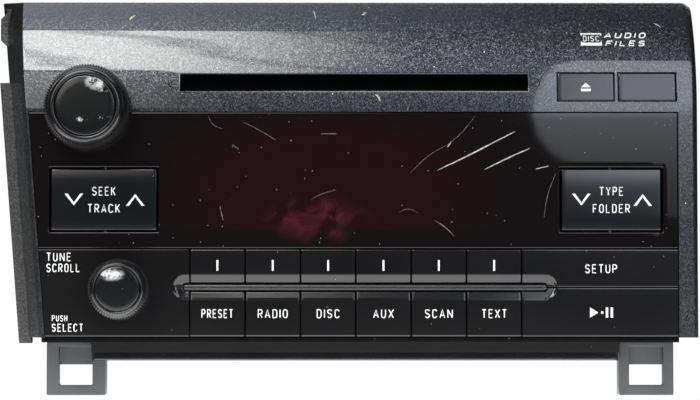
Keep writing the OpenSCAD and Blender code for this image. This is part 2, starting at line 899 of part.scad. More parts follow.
// Laser sled riding on the two guide rods.
module laser_sled() {
    x0 = sled_x + 1 - sled_half;
    x1 = sled_x + 1 + sled_half;
    color("#303234") difference() {
        union() {
            block([x0, disc_y - 13, rod_z - 3], [x1, disc_y + 13, rod_z + 2.5]);
            for (y = guide_y) block([x0, y - 4, rod_z - 2.6], [x1, y + 4, rod_z + 2.6]);
            block([x0 + 4, disc_y + 20, rod_z - 2.6], [x1 - 4, screw_y + 2.4, rod_z - 1.6]);
            rod_z(sled_x + 2, disc_y, 3.5, rod_z + 2.4, rod_z + 4.5);
        }
        for (y = guide_y) rod_x(y, rod_z, 1.56, x0 - 1, x1 + 1);
    }
}

module guide_rods() {
    color("#cfd2d4") for (y = guide_y) rod_x(y, rod_z, 1.5, 14.2, 74);
}

module lead_screw() {
    color("#cfd2d4") {
        rod_x(screw_y, rod_z, 1.25, 12, 74.5);
        rod_x(screw_y, rod_z, 3.2, 9, 12.1);
    }
}

// Sprung arm that holds the clamp above the turntable.
module clamp_arm() {
    color("#b4b8bb") {
        difference() {
            union() {
                block([-9, disc_y - 6, arm_z + 2], [9, arm_y + 4, arm_z + 3.2]);
                block([-60, arm_y - 4, arm_z + 2], [60, arm_y + 4, arm_z + 3.2]);
            }
            rod_z(0, disc_y + 30, 4, arm_z, arm_z + 5);
        }
        for (x = [-60, 58.8]) block([x, arm_y - 3, arm_z - 2], [x + 1.2, arm_y + 3, arm_z + 2.1]);
        rod_x(arm_y, arm_z, 1.25, -axle_half, axle_half);
        rod_z(0, disc_y, 3, disc_z + 5.4, arm_z + 2.1);
        rod_z(0, disc_y, 12, disc_z + 3, disc_z + 5.5);
    }
}

fascia();
front_base();
left_hanger_loop();
right_hanger_loop();
display_lens();
tune_panel();
light_bar();
display_module();
volume_knob();
volume_knob_cap();
volume_shaft();
volume_rotor();
volume_encoder();
tune_knob();
tune_knob_cap();
tune_shaft();
tune_rotor();
tune_encoder();
seek_rocker();
type_rocker();
rocker_pins();
eject_key();
blank_key();
station_key_1();
station_key_2();
station_key_3();
station_key_4();
station_key_5();
station_key_6();
preset_key();
radio_key();
disc_key();
aux_key();
scan_key();
text_key();
setup_key();
play_key();
front_pcb();
tact_switches();
slot_felt();
front_plate();
chassis_tray();
top_cover();
chassis_screws();
heat_sink();
main_pcb();
tuner_can();
power_amp();
capacitors();
main_connector();
antenna_socket();
mech_deck();
feed_roller();
feed_motor();
spindle_motor();
turntable();
laser_sled();
guide_rods();
lead_screw();
clamp_arm();
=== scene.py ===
# %% [markdown]
# A double-height car radio with a slot-loading disc drive. The CAD frame gives every size and every
# joint. This lesson dresses it: first the camera and the light, then the finishes, then the pieces.
# %% Load the frame
import math
import random

import bmesh
import bpy
from mathutils import Matrix, Vector


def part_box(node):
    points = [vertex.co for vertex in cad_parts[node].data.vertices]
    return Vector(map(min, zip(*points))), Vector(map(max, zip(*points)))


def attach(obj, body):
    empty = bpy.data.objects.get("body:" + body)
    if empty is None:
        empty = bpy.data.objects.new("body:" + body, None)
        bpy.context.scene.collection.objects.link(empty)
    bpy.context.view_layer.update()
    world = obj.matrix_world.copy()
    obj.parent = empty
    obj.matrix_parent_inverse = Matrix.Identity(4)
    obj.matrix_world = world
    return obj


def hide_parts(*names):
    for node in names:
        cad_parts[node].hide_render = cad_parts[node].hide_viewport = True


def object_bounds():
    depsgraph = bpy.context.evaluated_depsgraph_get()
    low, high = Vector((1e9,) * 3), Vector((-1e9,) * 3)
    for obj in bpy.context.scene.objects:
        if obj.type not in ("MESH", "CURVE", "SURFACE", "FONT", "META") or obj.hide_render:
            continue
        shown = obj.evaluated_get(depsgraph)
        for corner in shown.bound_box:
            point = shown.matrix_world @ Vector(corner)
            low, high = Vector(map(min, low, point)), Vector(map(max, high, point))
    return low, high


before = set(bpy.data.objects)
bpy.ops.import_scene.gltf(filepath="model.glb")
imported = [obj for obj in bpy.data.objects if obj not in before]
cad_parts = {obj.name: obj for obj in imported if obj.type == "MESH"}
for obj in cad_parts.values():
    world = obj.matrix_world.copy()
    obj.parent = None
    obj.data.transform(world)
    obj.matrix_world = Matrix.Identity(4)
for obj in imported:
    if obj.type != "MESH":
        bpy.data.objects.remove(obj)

cad_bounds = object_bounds()
scene = bpy.context.scene
mm = 0.001
print("CAD nodes:", len(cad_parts))

# %% [markdown]
# Everything on the front is placed from a few measured lines: the flat face, the place where the top
# band starts to roll back, and the left side, which leans. Measuring them on the CAD pieces once
# keeps every later piece in step with them.
# %% Measure the front
lens_low, lens_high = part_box("display_lens")
panel_low, panel_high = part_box("tune_panel")
shell_low, shell_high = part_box("fascia")
bar_low, bar_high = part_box("light_bar")
face_y = lens_low.y
roll_radius = 55 * mm
roll_z = lens_high.z
split_z = (bar_low.z + bar_high.z) / 2


def left_corner(node, z):
    """The leftmost x of a CAD piece at height z."""
    points = [v.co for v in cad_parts[node].data.vertices]
    return min(p.x for p in points if abs(p.z - z) < 0.1 * mm)


lean = (left_corner("display_lens", lens_low.z) - lens_low.x) / (lens_high.z - lens_low.z)


def face_at(z):
    """Y of the front surface: flat up to the roll, then an arc."""
    rise = max(0.0, z - roll_z)
    return face_y + roll_radius - math.sqrt(roll_radius ** 2 - rise ** 2)


print("lean of the left side:", round(math.degrees(math.atan(lean)), 2), "degrees")

# %% [markdown]
# The camera stands far back with a long lens, a little below the middle of the radio, and aims at
# the middle of the front. From that far the front looks almost flat, as it does in a product shot.
# %% Camera
view_distance = 950 * mm
frame_width = 247.5 * mm
frame_centre = Vector((-1.5 * mm, face_y, -7.0 * mm))
eye = Vector((-6.7 * mm, face_y - view_distance, -50 * mm))
camera_data = bpy.data.cameras.new("camera")
camera = bpy.data.objects.new("camera", camera_data)
scene.collection.objects.link(camera)
camera.location = eye
sight = frame_centre - eye
camera.rotation_euler = sight.to_track_quat("-Z", "Y").to_euler()
film_width = 36
camera_data.sensor_width = film_width
camera_data.lens = film_width * sight.length / frame_width
camera_data.clip_start = 0.01
camera_data.clip_end = 50
scene.camera = camera
tilt = math.degrees(math.atan2(sight.z, sight.y))
print("lens:", round(camera_data.lens), "mm, tilt:", round(tilt, 1), "degrees")

# %% [markdown]
# Every finish below is a node tree. One small function adds a node, sets its values and makes its
# links, so that a tree reads from top to bottom like a recipe. Colours are written as the hex values
# that a paint chart gives, and one function turns them to the linear values that light needs.
# %% Helpers for finishes
def tone(hex_text, alpha=1.0):
    """A hex colour as linear red, green, blue and alpha."""
    parts = [int(hex_text[i:i + 2], 16) / 255 for i in (0, 2, 4)]
    return [p / 12.92 if p <= 0.04045 else ((p + 0.055) / 1.055) ** 2.4 for p in parts] + [alpha]


def add(tree, kind, inputs=None, **settings):
    """Add one shader node with its settings, and set or link its inputs."""
    node = tree.nodes.new("ShaderNode" + kind)
    for name, value in settings.items():
        setattr(node, name, value)
    for name, value in (inputs or {}).items():
        if isinstance(value, bpy.types.NodeSocket):
            tree.links.new(value, node.inputs[name])
        else:
            node.inputs[name].default_value = value
    return node


def new_finish(name, color, roughness, **shader_values):
    """A material with one principled shader. Returns the material, its tree and the shader."""
    material = bpy.data.materials.new(name)
    material.use_nodes = True
    tree = material.node_tree
    shader = tree.nodes["Principled BSDF"]
    shader.inputs["Base Color"].default_value = tone(color)
    shader.inputs["Roughness"].default_value = roughness
    for label, value in shader_values.items():
        shader.inputs[label.replace("_", " ").title().replace("Ior", "IOR")].default_value = value
    material.diffuse_color = tone(color)
    return material, tree, shader


def per_metre(size_mm):
    """Texture scale for a feature of this size in millimetres."""
    return 1000 / size_mm


def grain_bump(tree, shader, size_mm, height_mm, detail=2.0):
    """Fine relief of a moulded or sprayed surface."""
    place = add(tree, "TexCoord").outputs["Object"]
    noise = add(tree, "TexNoise", {"Vector": place, "Scale": per_metre(size_mm), "Detail": detail})
    bump = add(tree, "Bump", {"Height": noise.outputs["Fac"], "Distance": height_mm * mm})
    tree.links.new(bump.outputs["Normal"], shader.inputs["Normal"])
    return place


def color_wander(tree, shader, place, dark, light, size_mm):
    """Let the colour drift between two tones in soft patches."""
    noise = add(tree, "TexNoise", {"Vector": place, "Scale": per_metre(size_mm), "Detail": 4.0})
    ramp = add(tree, "MapRange", {"Value": noise.outputs["Fac"], "From Min": 0.35, "From Max": 0.7})
    mix = add(tree, "Mix", {0: ramp.outputs["Result"], 6: tone(dark), 7: tone(light)}, data_type="RGBA")
    tree.links.new(mix.outputs[2], shader.inputs["Base Color"])


# %% [markdown]
# Dust is the cheapest sign of age: a few pale specks, each no bigger than a grain of sand. A Voronoi
# pattern gives one point per cell; only some cells keep theirs, so the specks never look ruled.
# %% Dust specks
def dust_mask(tree, place, spacing_mm, speck_mm, share):
    """A mask that is 1 on scattered round specks."""
    cells = add(tree, "TexVoronoi", {"Vector": place, "Scale": per_metre(spacing_mm)})
    near = add(tree, "Math", {0: cells.outputs["Distance"], 1: speck_mm / spacing_mm}, operation="LESS_THAN")
    pick = add(tree, "SeparateColor", {"Color": cells.outputs["Color"]})
    chosen = add(tree, "Math", {0: pick.outputs[0], 1: share}, operation="LESS_THAN")
    return add(tree, "Math", {0: near.outputs[0], 1: chosen.outputs[0]}, operation="MULTIPLY").outputs[0]


def sprinkle(tree, shader, place, color="8f908e", spacing_mm=3.4, speck_mm=0.13, share=0.25):
    """Lay dust over whatever colour the shader already has."""
    mask = dust_mask(tree, place, spacing_mm, speck_mm, share)
    base = shader.inputs["Base Color"]
    under = base.links[0].from_socket if base.links else tuple(base.default_value)
    mix = add(tree, "Mix", {0: mask, 6: under, 7: tone(color)}, data_type="RGBA")
    tree.links.new(mix.outputs[2], base)


# %% [markdown]
# Lacquered charcoal paint: aluminium flakes float under a clear, glossy coat. The flakes tilt at
# random, so each one is darker or brighter than its neighbour, while the coat above mirrors the
# lamps cleanly. So the base layer gets one random tilt per cell and the coat keeps the true normal.
# Real flakes are about 0.03 mm; they are drawn at 0.36 mm so that they show.
# %% Charcoal lacquer
def charcoal_lacquer():
    material, tree, shader = new_finish("charcoal_lacquer", "34373b", 0.29, metallic=0.8, coat_weight=1.0,
                                        coat_roughness=0.035, coat_ior=1.5)
    place = add(tree, "TexCoord").outputs["Object"]
    flakes = add(tree, "TexVoronoi", {"Vector": place, "Scale": per_metre(0.36)})
    centred = add(tree, "VectorMath", {0: flakes.outputs["Color"], 1: (0.5, 0.5, 0.5)}, operation="SUBTRACT")
    tilt = add(tree, "VectorMath", {0: centred.outputs[0], "Scale": 0.32}, operation="SCALE")
    straight = add(tree, "NewGeometry").outputs["Normal"]
    tilted = add(tree, "VectorMath", {0: straight, 1: tilt.outputs[0]}, operation="ADD")
    unit = add(tree, "VectorMath", {0: tilted.outputs[0]}, operation="NORMALIZE")
    tree.links.new(unit.outputs[0], shader.inputs["Normal"])
    sparkle = add(tree, "SeparateColor", {"Color": flakes.outputs["Color"]})
    shade = add(tree, "Mix", {0: sparkle.outputs[1], 6: tone("191b1e"), 7: tone("3d4045")}, data_type="RGBA")
    tree.links.new(shade.outputs[2], shader.inputs["Base Color"])
    sprinkle(tree, shader, place, "c4c5c4", 4.5, 0.2, 0.35)
    return material


# %% [markdown]
# Smoked acrylic is almost black and mirrors like a pond. Behind its middle sits the unlit display, and
# its red filter shows faintly through as a painted glow: a soft oval of painted light in the colour,
# broken up by noise, with a painted brighter cloudy patch low down where light gets in.
# %% Smoked acrylic
def oval_mask(tree, place, centre_mm, radii_mm, soft):
    """1 inside an oval on the front, fading to 0 outside it."""
    centre = [c * mm for c in centre_mm]
    shift = add(tree, "VectorMath", {0: place, 1: centre}, operation="SUBTRACT")
    scale = [1 / (r * mm) for r in radii_mm]
    grow = add(tree, "VectorMath", {0: shift.outputs[0], 1: scale}, operation="MULTIPLY")
    far = add(tree, "VectorMath", {0: grow.outputs[0]}, operation="LENGTH")
    fade = add(tree, "MapRange", {"Value": far.outputs["Value"], "From Min": 1 + soft, "From Max": 1 - soft},
               interpolation_type="SMOOTHSTEP")
    return fade.outputs["Result"]


def smoked_acrylic():
    material, tree, shader = new_finish("smoked_acrylic", "150f10", 0.06, ior=1.49)
    place = add(tree, "TexCoord").outputs["Object"]
    # painted light: a soft red glow in the colour, standing for light through the filter
    glow = oval_mask(tree, place, (-10, face_y / mm, -3), (50, 40, 26), 0.45)
    height = add(tree, "SeparateXYZ", {"Vector": place}).outputs["Z"]
    sill = add(tree, "MapRange", {"Value": height, "From Min": -18.0 * mm, "From Max": -16.8 * mm})
    glow = add(tree, "Math", {0: glow, 1: sill.outputs["Result"]}, operation="MULTIPLY").outputs[0]
    # painted light: a brighter cloudy patch low down, where light gets in
    patch = oval_mask(tree, place, (-13, face_y / mm, -14), (14, 40, 6.5), 0.6)
    cloud = add(tree, "TexNoise", {"Vector": place, "Scale": per_metre(8), "Detail": 3.0, "Distortion": 0.9})
    streaks = add(tree, "MapRange", {"Value": cloud.outputs["Fac"], "From Min": 0.42, "From Max": 0.68})
    lit = add(tree, "Math", {0: patch, 1: streaks.outputs["Result"]}, operation="MULTIPLY")
    red = add(tree, "Mix", {0: glow, 6: tone("0b0909"), 7: tone("16070b")}, data_type="RGBA")
    bright = add(tree, "Mix", {0: lit.outputs[0], 6: red.outputs[2], 7: tone("3c151e")}, data_type="RGBA")
    tree.links.new(bright.outputs[2], shader.inputs["Base Color"])
    haze = add(tree, "TexNoise", {"Vector": place, "Scale": per_metre(30), "Detail": 6.0, "Roughness": 0.7})
    wipe = add(tree, "MapRange", {"Value": haze.outputs["Fac"], "From Min": 0.4, "From Max": 0.75,
                                  "To Min": 0.02, "To Max": 0.06})
    tree.links.new(wipe.outputs["Result"], shader.inputs["Roughness"])
    sprinkle(tree, shader, place, "8d8886", 2.6, 0.14, 0.5)
    return material


# %% [markdown]
# The keys, knobs and the carrier are moulded ABS. ABS takes its grain from the mould: the keys are
# nearly smooth with a soft satin, the rockers a little bluer, the carrier coarse and dull.
# %% Moulded plastics
def moulded(name, dark, light, roughness, grain_mm, depth_mm, dusty=True, **more):
    """ABS with a mould grain, a slight drift of colour and, if wanted, dust."""
    material, tree, shader = new_finish(name, dark, roughness, ior=1.53, **more)
    place = grain_bump(tree, shader, grain_mm, depth_mm)
    color_wander(tree, shader, place, dark, light, 14)
    if dusty:
        sprinkle(tree, shader, place)
    return material


def scuffs_and_glare(name, dark, light, roughness, spots):
    """A moulded finish with whitened spots, used for worn scuffs and for a painted highlight: centre and
    radii in millimetres, and a cover threshold.
    """
    material, tree, shader = new_finish(name, dark, roughness, ior=1.46)
    place = grain_bump(tree, shader, 0.25, 0.002)
    color_wander(tree, shader, place, dark, light, 14)
    spot_noise = add(tree, "TexNoise", {"Vector": place, "Scale": per_metre(2.2), "Detail": 6.0,
                                    "Roughness": 0.75})
    # each spot whitens the colour: worn scuffs on the volume knob, a painted highlight on the tune knob
    for centre, radii, cover in spots:
        oval = oval_mask(tree, place, centre, radii, 0.5)
        spot_cover = add(tree, "MapRange", {"Value": spot_noise.outputs["Fac"], "From Min": cover,
                                        "From Max": cover + 0.12})
        wear_and_glare = add(tree, "Math", {0: oval, 1: spot_cover.outputs["Result"]}, operation="MULTIPLY")
        under = shader.inputs["Base Color"].links[0].from_socket
        mix = add(tree, "Mix", {0: wear_and_glare.outputs[0], 6: under, 7: tone("b4b5b4")}, data_type="RGBA")
        tree.links.new(mix.outputs[2], shader.inputs["Base Color"])
    sprinkle(tree, shader, place)
    return material


def carrier_abs():
    """Black ABS that turns grey and grained on the flange, behind a set depth."""
    material, tree, shader = new_finish("carrier_grained_abs", "070708", 0.2, ior=1.42)
    place = grain_bump(tree, shader, 0.6, 0.01)
    color_wander(tree, shader, place, "060607", "0b0b0c", 14)
    depth = add(tree, "SeparateXYZ", {"Vector": place}).outputs["Y"]
    rear = add(tree, "MapRange", {"Value": depth, "From Min": -2.4 * mm, "From Max": -2.1 * mm})
    grain = add(tree, "TexNoise", {"Vector": place, "Scale": per_metre(0.7), "Detail": 3.0})
    spots = add(tree, "MapRange", {"Value": grain.outputs["Fac"], "From Min": 0.4, "From Max": 0.65})
    grey = add(tree, "Mix", {0: spots.outputs["Result"], 6: tone("1b1b1c"), 7: tone("4b4c4c")},
               data_type="RGBA")
    black = shader.inputs["Base Color"].links[0].from_socket
    mix = add(tree, "Mix", {0: rear.outputs["Result"], 6: black, 7: grey.outputs[2]}, data_type="RGBA")
    tree.links.new(mix.outputs[2], shader.inputs["Base Color"])
    height = add(tree, "SeparateXYZ", {"Vector": place}).outputs["Z"]
    satin = add(tree, "MapRange", {"Value": height, "From Min": -57.5 * mm, "From Max": -56.5 * mm,
                                   "To Min": 0.2, "To Max": 0.1})
    dull = add(tree, "Mix", {0: rear.outputs["Result"], 2: satin.outputs["Result"], 3: 0.6},
               data_type="FLOAT")
    tree.links.new(dull.outputs[0], shader.inputs["Roughness"])
    sprinkle(tree, shader, place)
    return material


charcoal = charcoal_lacquer()
acrylic = smoked_acrylic()
key_satin = moulded("key_satin_abs", "0c0c0d", "101011", 0.13, 0.25, 0.001)
rocker_satin = moulded("rocker_satin_abs", "0a0c0f", "0e1114", 0.15, 0.25, 0.003)
small_key_satin = moulded("small_key_satin_abs", "15171a", "1a1c1f", 0.16, 0.25, 0.002)
knob_grip = moulded("knob_grip_abs", "09090a", "0e0e0f", 0.2, 0.3, 0.002)
volume_spots = [((-90.0, -39, 34.0), (3.4, 6, 2.6), 0.44), ((-87.5, -39, 31.5), (3.0, 6, 1.2), 0.5),
                ((-95.0, -39, 20.5), (1.6, 6, 0.8), 0.52), ((-89.0, -39, 21.6), (3.0, 6, 0.7), 0.55)]
# the tune knob's whitened spots are a painted highlight: the softbox's glare on its domed cap
tune_glare_spots = [((-84.8, -36, -33.6), (3.6, 6, 1.7), 0.42), ((-82.0, -36, -38.0), (3.0, 6, 2.6), 0.66)]
volume_face = scuffs_and_glare("volume_face_abs", "090a0b", "0e0f10", 0.18, volume_spots)
tune_face = scuffs_and_glare("tune_face_abs", "090a0b", "0e0f10", 0.18, tune_glare_spots)
carrier_black = carrier_abs()
loop_grey = moulded("loop_grey_nylon", "2d2f31", "393b3d", 0.45, 0.5, 0.012)
bar_dark = moulded("bar_dark_abs", "1c1c1e", "242426", 0.26, 0.3, 0.002, dusty=False)

# %% [markdown]
# The legends are screen-printed with a white ink that dries slightly uneven.
# %% White ink
def white_ink():
    material, tree, shader = new_finish("white_ink", "c2c2c0", 0.55)
    place = add(tree, "TexCoord").outputs["Object"]
    color_wander(tree, shader, place, "b8b8b6", "cccccb", 1.2)
    return material


ink = white_ink()

# %% [markdown]
# The chassis is zinc-plated sheet steel, rolled and stamped. Zinc crystals give it a faint cloudy
# spangle and rolling leaves fine lines along it. The plated finish is a metal, so it keeps the
# default IOR; only roughness and colour are varied.
# %% Metals
def plated(name, color, bright, roughness, spangle_mm, line_mm=0.0, line_axis=1):
    """A plated or drawn metal with spangle and, if wanted, fine lines along one axis."""
    material, tree, shader = new_finish(name, color, roughness, metallic=1.0)
    place = add(tree, "TexCoord").outputs["Object"]
    color_wander(tree, shader, place, color, bright, spangle_mm)
    if line_mm:
        stretch = [per_metre(line_mm)] * 3
        stretch[line_axis] = per_metre(line_mm * 60)
        along = add(tree, "VectorMath", {0: place, 1: stretch}, operation="MULTIPLY")
        lines = add(tree, "TexNoise", {"Vector": along.outputs[0], "Scale": 1.0, "Detail": 3.0})
        vary = add(tree, "MapRange", {"Value": lines.outputs["Fac"], "To Min": roughness * 0.7,
                                      "To Max": roughness * 1.4})
        tree.links.new(vary.outputs["Result"], shader.inputs["Roughness"])
        bump = add(tree, "Bump", {"Height": lines.outputs["Fac"], "Distance": 0.01 * mm, "Strength": 0.4})
        tree.links.new(bump.outputs["Normal"], shader.inputs["Normal"])
    return material


zinc = plated("zinc_plated_sheet", "9b9fa2", "b7bbbd", 0.36, 6.0, 0.35, 1)
tin = plated("tin_plate", "a8abad", "c3c5c6", 0.25, 12.0, 0.3, 0)
ground_steel = plated("ground_steel", "b4b6b8", "c8cacb", 0.18, 3.0, 0.2, 0)
passivated = plated("yellow_passivated_steel", "a59a6c", "c4bc92", 0.3, 2.0)
cast_alloy = plated("extruded_aluminium", "9a9da0", "adb0b2", 0.42, 5.0, 0.4, 2)
drawn_can = plated("drawn_motor_can", "8f9396", "a6aaac", 0.3, 4.0, 0.25, 2)
nickel = plated("nickel_plate", "a9a79f", "c2c0b8", 0.2, 3.0)

# %% [markdown]
# Inside are small finishes that mostly show through slots: green solder resist over fibreglass, black
# moulded epoxy, ivory nylon, shrink sleeve, rubber and felt.
# %% Inner finishes
def solder_resist():
    material, tree, shader = new_finish("solder_resist", "1d5a38", 0.35, ior=1.5, coat_weight=0.4,
                                        coat_roughness=0.2)
    place = add(tree, "TexCoord").outputs["Object"]
    tracks = add(tree, "TexBrick", {"Vector": place, "Scale": per_metre(9), "Mortar Size": 0.03,
                                    "Color1": tone("1c5635"), "Color2": tone("226340"),
                                    "Mortar": tone("3a7d55")})
    tree.links.new(tracks.outputs["Color"], shader.inputs["Base Color"])
    return material


def felt():
    material, tree, shader = new_finish("dust_felt", "040404", 0.95, specular_ior_level=0.1)
    grain_bump(tree, shader, 0.35, 0.12, 5.0)
    return material


board_green = solder_resist()
felt_black = felt()
epoxy_black = moulded("moulded_epoxy", "161617", "1f1f20", 0.45, 0.3, 0.004)
nylon_ivory = moulded("ivory_nylon", "cfc8b4", "dbd5c3", 0.42, 0.5, 0.006)
sleeve_blue = moulded("shrink_sleeve", "22253c", "2b3050", 0.3, 1.5, 0.01)
rubber = moulded("ground_rubber", "171717", "222222", 0.7, 0.2, 0.02)

# %% [markdown]
# Every CAD piece that keeps its shape gets its finish here. Real edges are never knife-sharp, so a
# weld joins the imported triangles, a small bevel rounds the edges, and weighted normals keep the
# broad faces flat. Modifiers leave the CAD mesh itself untouched.
# %% Dress the CAD pieces
def keep_flat(piece):
    """Weighted normals: broad faces look flat and rounded edges smooth."""
    normals = piece.modifiers.new("flat_faces", "WEIGHTED_NORMAL")
    normals.keep_sharp = False


def soften(piece, round_mm):
    """Weld, bevel and shade a piece so that its edges catch light."""
    for face in piece.data.polygons:
        face.use_smooth = True
    weld = piece.modifiers.new("weld", "WELD")
    weld.merge_threshold = 0.002 * mm
    bevel = piece.modifiers.new("edge_round", "BEVEL")
    bevel.width = round_mm * mm
    bevel.segments = 2
    bevel.limit_method = "ANGLE"
    bevel.angle_limit = math.radians(35)
    bevel.miter_outer = "MITER_ARC"
    keep_flat(piece)


def dress(node, material, round_mm):
    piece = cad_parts[node]
    piece.data.materials.clear()
    piece.data.materials.append(material)
    soften(piece, round_mm)


cad_finish = {
    "front_base": (carrier_black, 0.3), "left_hanger_loop": (loop_grey, 0.4),
    "right_hanger_loop": (loop_grey, 0.4), "display_module": (epoxy_black, 0.3),
    "front_pcb": (board_green, 0.1), "tact_switches": (epoxy_black, 0.1),
    "rocker_pins": (ground_steel, 0.1), "volume_shaft": (ground_steel, 0.2),
    "tune_shaft": (ground_steel, 0.2), "volume_rotor": (nylon_ivory, 0.1),
    "tune_rotor": (nylon_ivory, 0.1), "volume_encoder": (drawn_can, 0.2),
    "tune_encoder": (drawn_can, 0.2), "front_plate": (zinc, 0.15), "chassis_tray": (zinc, 0.25),
    "top_cover": (zinc, 0.25), "chassis_screws": (passivated, 0.25), "heat_sink": (cast_alloy, 0.2),
    "main_pcb": (board_green, 0.1), "tuner_can": (tin, 0.2), "power_amp": (epoxy_black, 0.1),
    "capacitors": (sleeve_blue, 0.4), "main_connector": (nylon_ivory, 0.3),
    "antenna_socket": (nickel, 0.2), "mech_deck": (zinc, 0.15), "feed_roller": (rubber, 0.2),
    "feed_motor": (drawn_can, 0.3), "spindle_motor": (drawn_can, 0.3), "turntable": (epoxy_black, 0.2),
    "laser_sled": (epoxy_black, 0.2), "guide_rods": (ground_steel, 0.1),
    "lead_screw": (ground_steel, 0.1), "clamp_arm": (zinc, 0.15),
}
for node, (material, round_mm) in cad_finish.items():
    dress(node, material, round_mm)
print("CAD pieces dressed:", len(cad_finish))

# %% [markdown]
# New pieces are built as meshes in metres, right where the CAD says. Each one rides on a CAD body
# and replaces the plain solid it stands for.
# %% Helpers for pieces
def settle(piece, body, material, replaces=None):
    """Give a new piece its finish, its body and the CAD node it stands for."""
    piece.data.materials.append(material)
    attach(piece, body)
    if replaces:
        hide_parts(replaces)
    return piece


def from_bmesh(name, bm, closed=True):
    """Turn a bmesh into a smooth-shaded piece in the scene."""
    if closed:
        bmesh.ops.recalc_face_normals(bm, faces=bm.faces)
    data = bpy.data.meshes.new(name)
    bm.to_mesh(data)
    bm.free()
    for face in data.polygons:
        face.use_smooth = True
    piece = bpy.data.objects.new(name, data)
    scene.collection.objects.link(piece)
    return piece


def round_edges(piece, width_mm):
    """Round the sharp edges of a new piece."""
    bevel = piece.modifiers.new("edge_round", "BEVEL")
    bevel.width = width_mm * mm
    bevel.segments = 3
    bevel.limit_method = "ANGLE"
    bevel.angle_limit = math.radians(50)
    keep_flat(piece)


def grid_surface(columns, rows, place, hole=None):
    """A sheet of quads. place(column, row) gives each corner; hole(column, row) leaves a cell out."""
    bm = bmesh.new()
    corners = {}

    def corner(i, j):
        if (i, j) not in corners:
            corners[i, j] = bm.verts.new(place(columns[i], rows[j]))
        return corners[i, j]

    for i in range(len(columns) - 1):
        for j in range(len(rows) - 1):
            middle = (columns[i] + columns[i + 1]) / 2, (rows[j] + rows[j + 1]) / 2
            if hole and hole(*middle):
                continue
            bm.faces.new([corner(i, j), corner(i + 1, j), corner(i + 1, j + 1), corner(i, j + 1)])
    return bm


def close_back(bm, back):
    """Pull the open rim straight back to a depth, and close it with one face per loop."""
    rim = [e for e in bm.edges if e.is_boundary]
    grown = bmesh.ops.extrude_edge_only(bm, edges=rim)["geom"]
    for vert in [g for g in grown if isinstance(g, bmesh.types.BMVert)]:
        vert.co.y = back
    bmesh.ops.holes_fill(bm, edges=[e for e in bm.edges if e.is_boundary], sides=0)


def thicken(bm, depth):
    """Give a flat printed shape a thickness towards the back."""
    grown = bmesh.ops.extrude_face_region(bm, geom=list(bm.faces))["geom"]
    for vert in [g for g in grown if isinstance(g, bmesh.types.BMVert)]:
        vert.co.y += depth


# %% [markdown]
# The fascia is one lacquered shell. Its front is a sheet of quads whose lines follow every opening, so
# the holes are simply cells left out. The top band rolls back on an arc, the right side turns back
# round a small radius, and the left side stops at a thin edge that leans. A solidify modifier gives
# it its wall and a bevel rounds the rims of the slot and of the key openings.
# %% Fascia
side_round = 2.4 * mm
top_round = 0.6 * mm
corner_radius = 3 * mm
shell_wall = 1.4 * mm
key_gap = 0.4 * mm
slot_half = 62 * mm
felt_low, felt_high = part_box("slot_felt")
slot_z = (felt_low.z + felt_high.z) / 2
slot_half_height = 3.35 * mm
eject_low, eject_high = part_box("eject_key")
blank_low, blank_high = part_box("blank_key")
field_right = lens_high.x + 0.3 * mm
field_top = lens_high.z + 0.3 * mm
leg_width = 0.35 * mm
wall_step = 4 * mm
left_flare = 7.6 * mm
left_margin = 0.25 * mm
left_round = 0.4 * mm
lean_stop = -70 * mm
shaft_low, shaft_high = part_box("volume_shaft")
shaft_x = (shaft_low.x + shaft_high.x) / 2
shaft_room = 5 * mm


def shaft_notch(x, above, fade):
    """How far an edge steps aside for the volume shaft, fading out over a distance."""
    bow = math.sqrt(max(0.0, shaft_room ** 2 - (x - shaft_x) ** 2))
    return bow * max(0.0, 1 - above / fade) if above > -1e-6 else 0.0


def lean_x(x, z, left=None, top=None, stop=None):
    """Lean a point in: fully at the left edge, not at all from stop rightwards."""
    left = shell_low.x if left is None else left
    top = shell_high.z if top is None else top
    stop = lean_stop if stop is None else stop
    share = max(0.0, min(1.0, (stop - x) / (stop - left)))
    return x + (top - z) * lean * share


left_start = shell_low.x - left_margin


def arc_back(distance, radius):
    """How far a rounded edge has turned back at this distance inside the edge."""
    if distance >= radius:
        return 0.0
    return radius - math.sqrt(max(0.0, radius ** 2 - (radius - distance) ** 2))


def fascia_point(x, z):
    """A point of the fascia. Beyond its right, left and top edges it runs along the walls."""
    over_x = max(0.0, x - shell_high.x, left_start - x)
    over_z = max(0.0, z - shell_high.z)
    x_front = max(left_start, min(x, shell_high.x))
    z_front = min(z, shell_high.z)
    rise = max(0.0, z_front - (shell_high.z - corner_radius))
    cut = corner_radius - math.sqrt(max(0.0, corner_radius ** 2 - rise ** 2))
    near_right = max(0.0, min(1.0, (x_front - (shell_high.x - 8 * mm)) / (8 * mm)))
    y = face_at(z_front)
    y += arc_back(shell_high.x - x_front, side_round) + arc_back(shell_high.z - z_front, top_round)
    y += arc_back(x_front - left_start, left_round)
    y *= 1 - max(over_x, over_z) / wall_step
    z_front += shaft_notch(x, z - field_top, 12 * mm)
    flare = left_flare * max(0.0, left_start - x) / wall_step
    return Vector((lean_x(x_front, z_front) - cut * near_right - flare, y, z_front))


def arc_steps(edge, radius, count=5):
    """Column or row lines that follow a rounded edge."""
    return [edge - radius * (1 - math.sin(math.pi / 2 * i / count)) for i in range(count + 1)]


def lines_between(marks, size):
    """Lines at every mark, and evenly between the marks."""
    lines = []
    for a, b in zip(marks, marks[1:]):
        count = max(1, round((b - a) / size))
        lines += [a + (b - a) * i / count for i in range(count)]
    return lines + [marks[-1]]


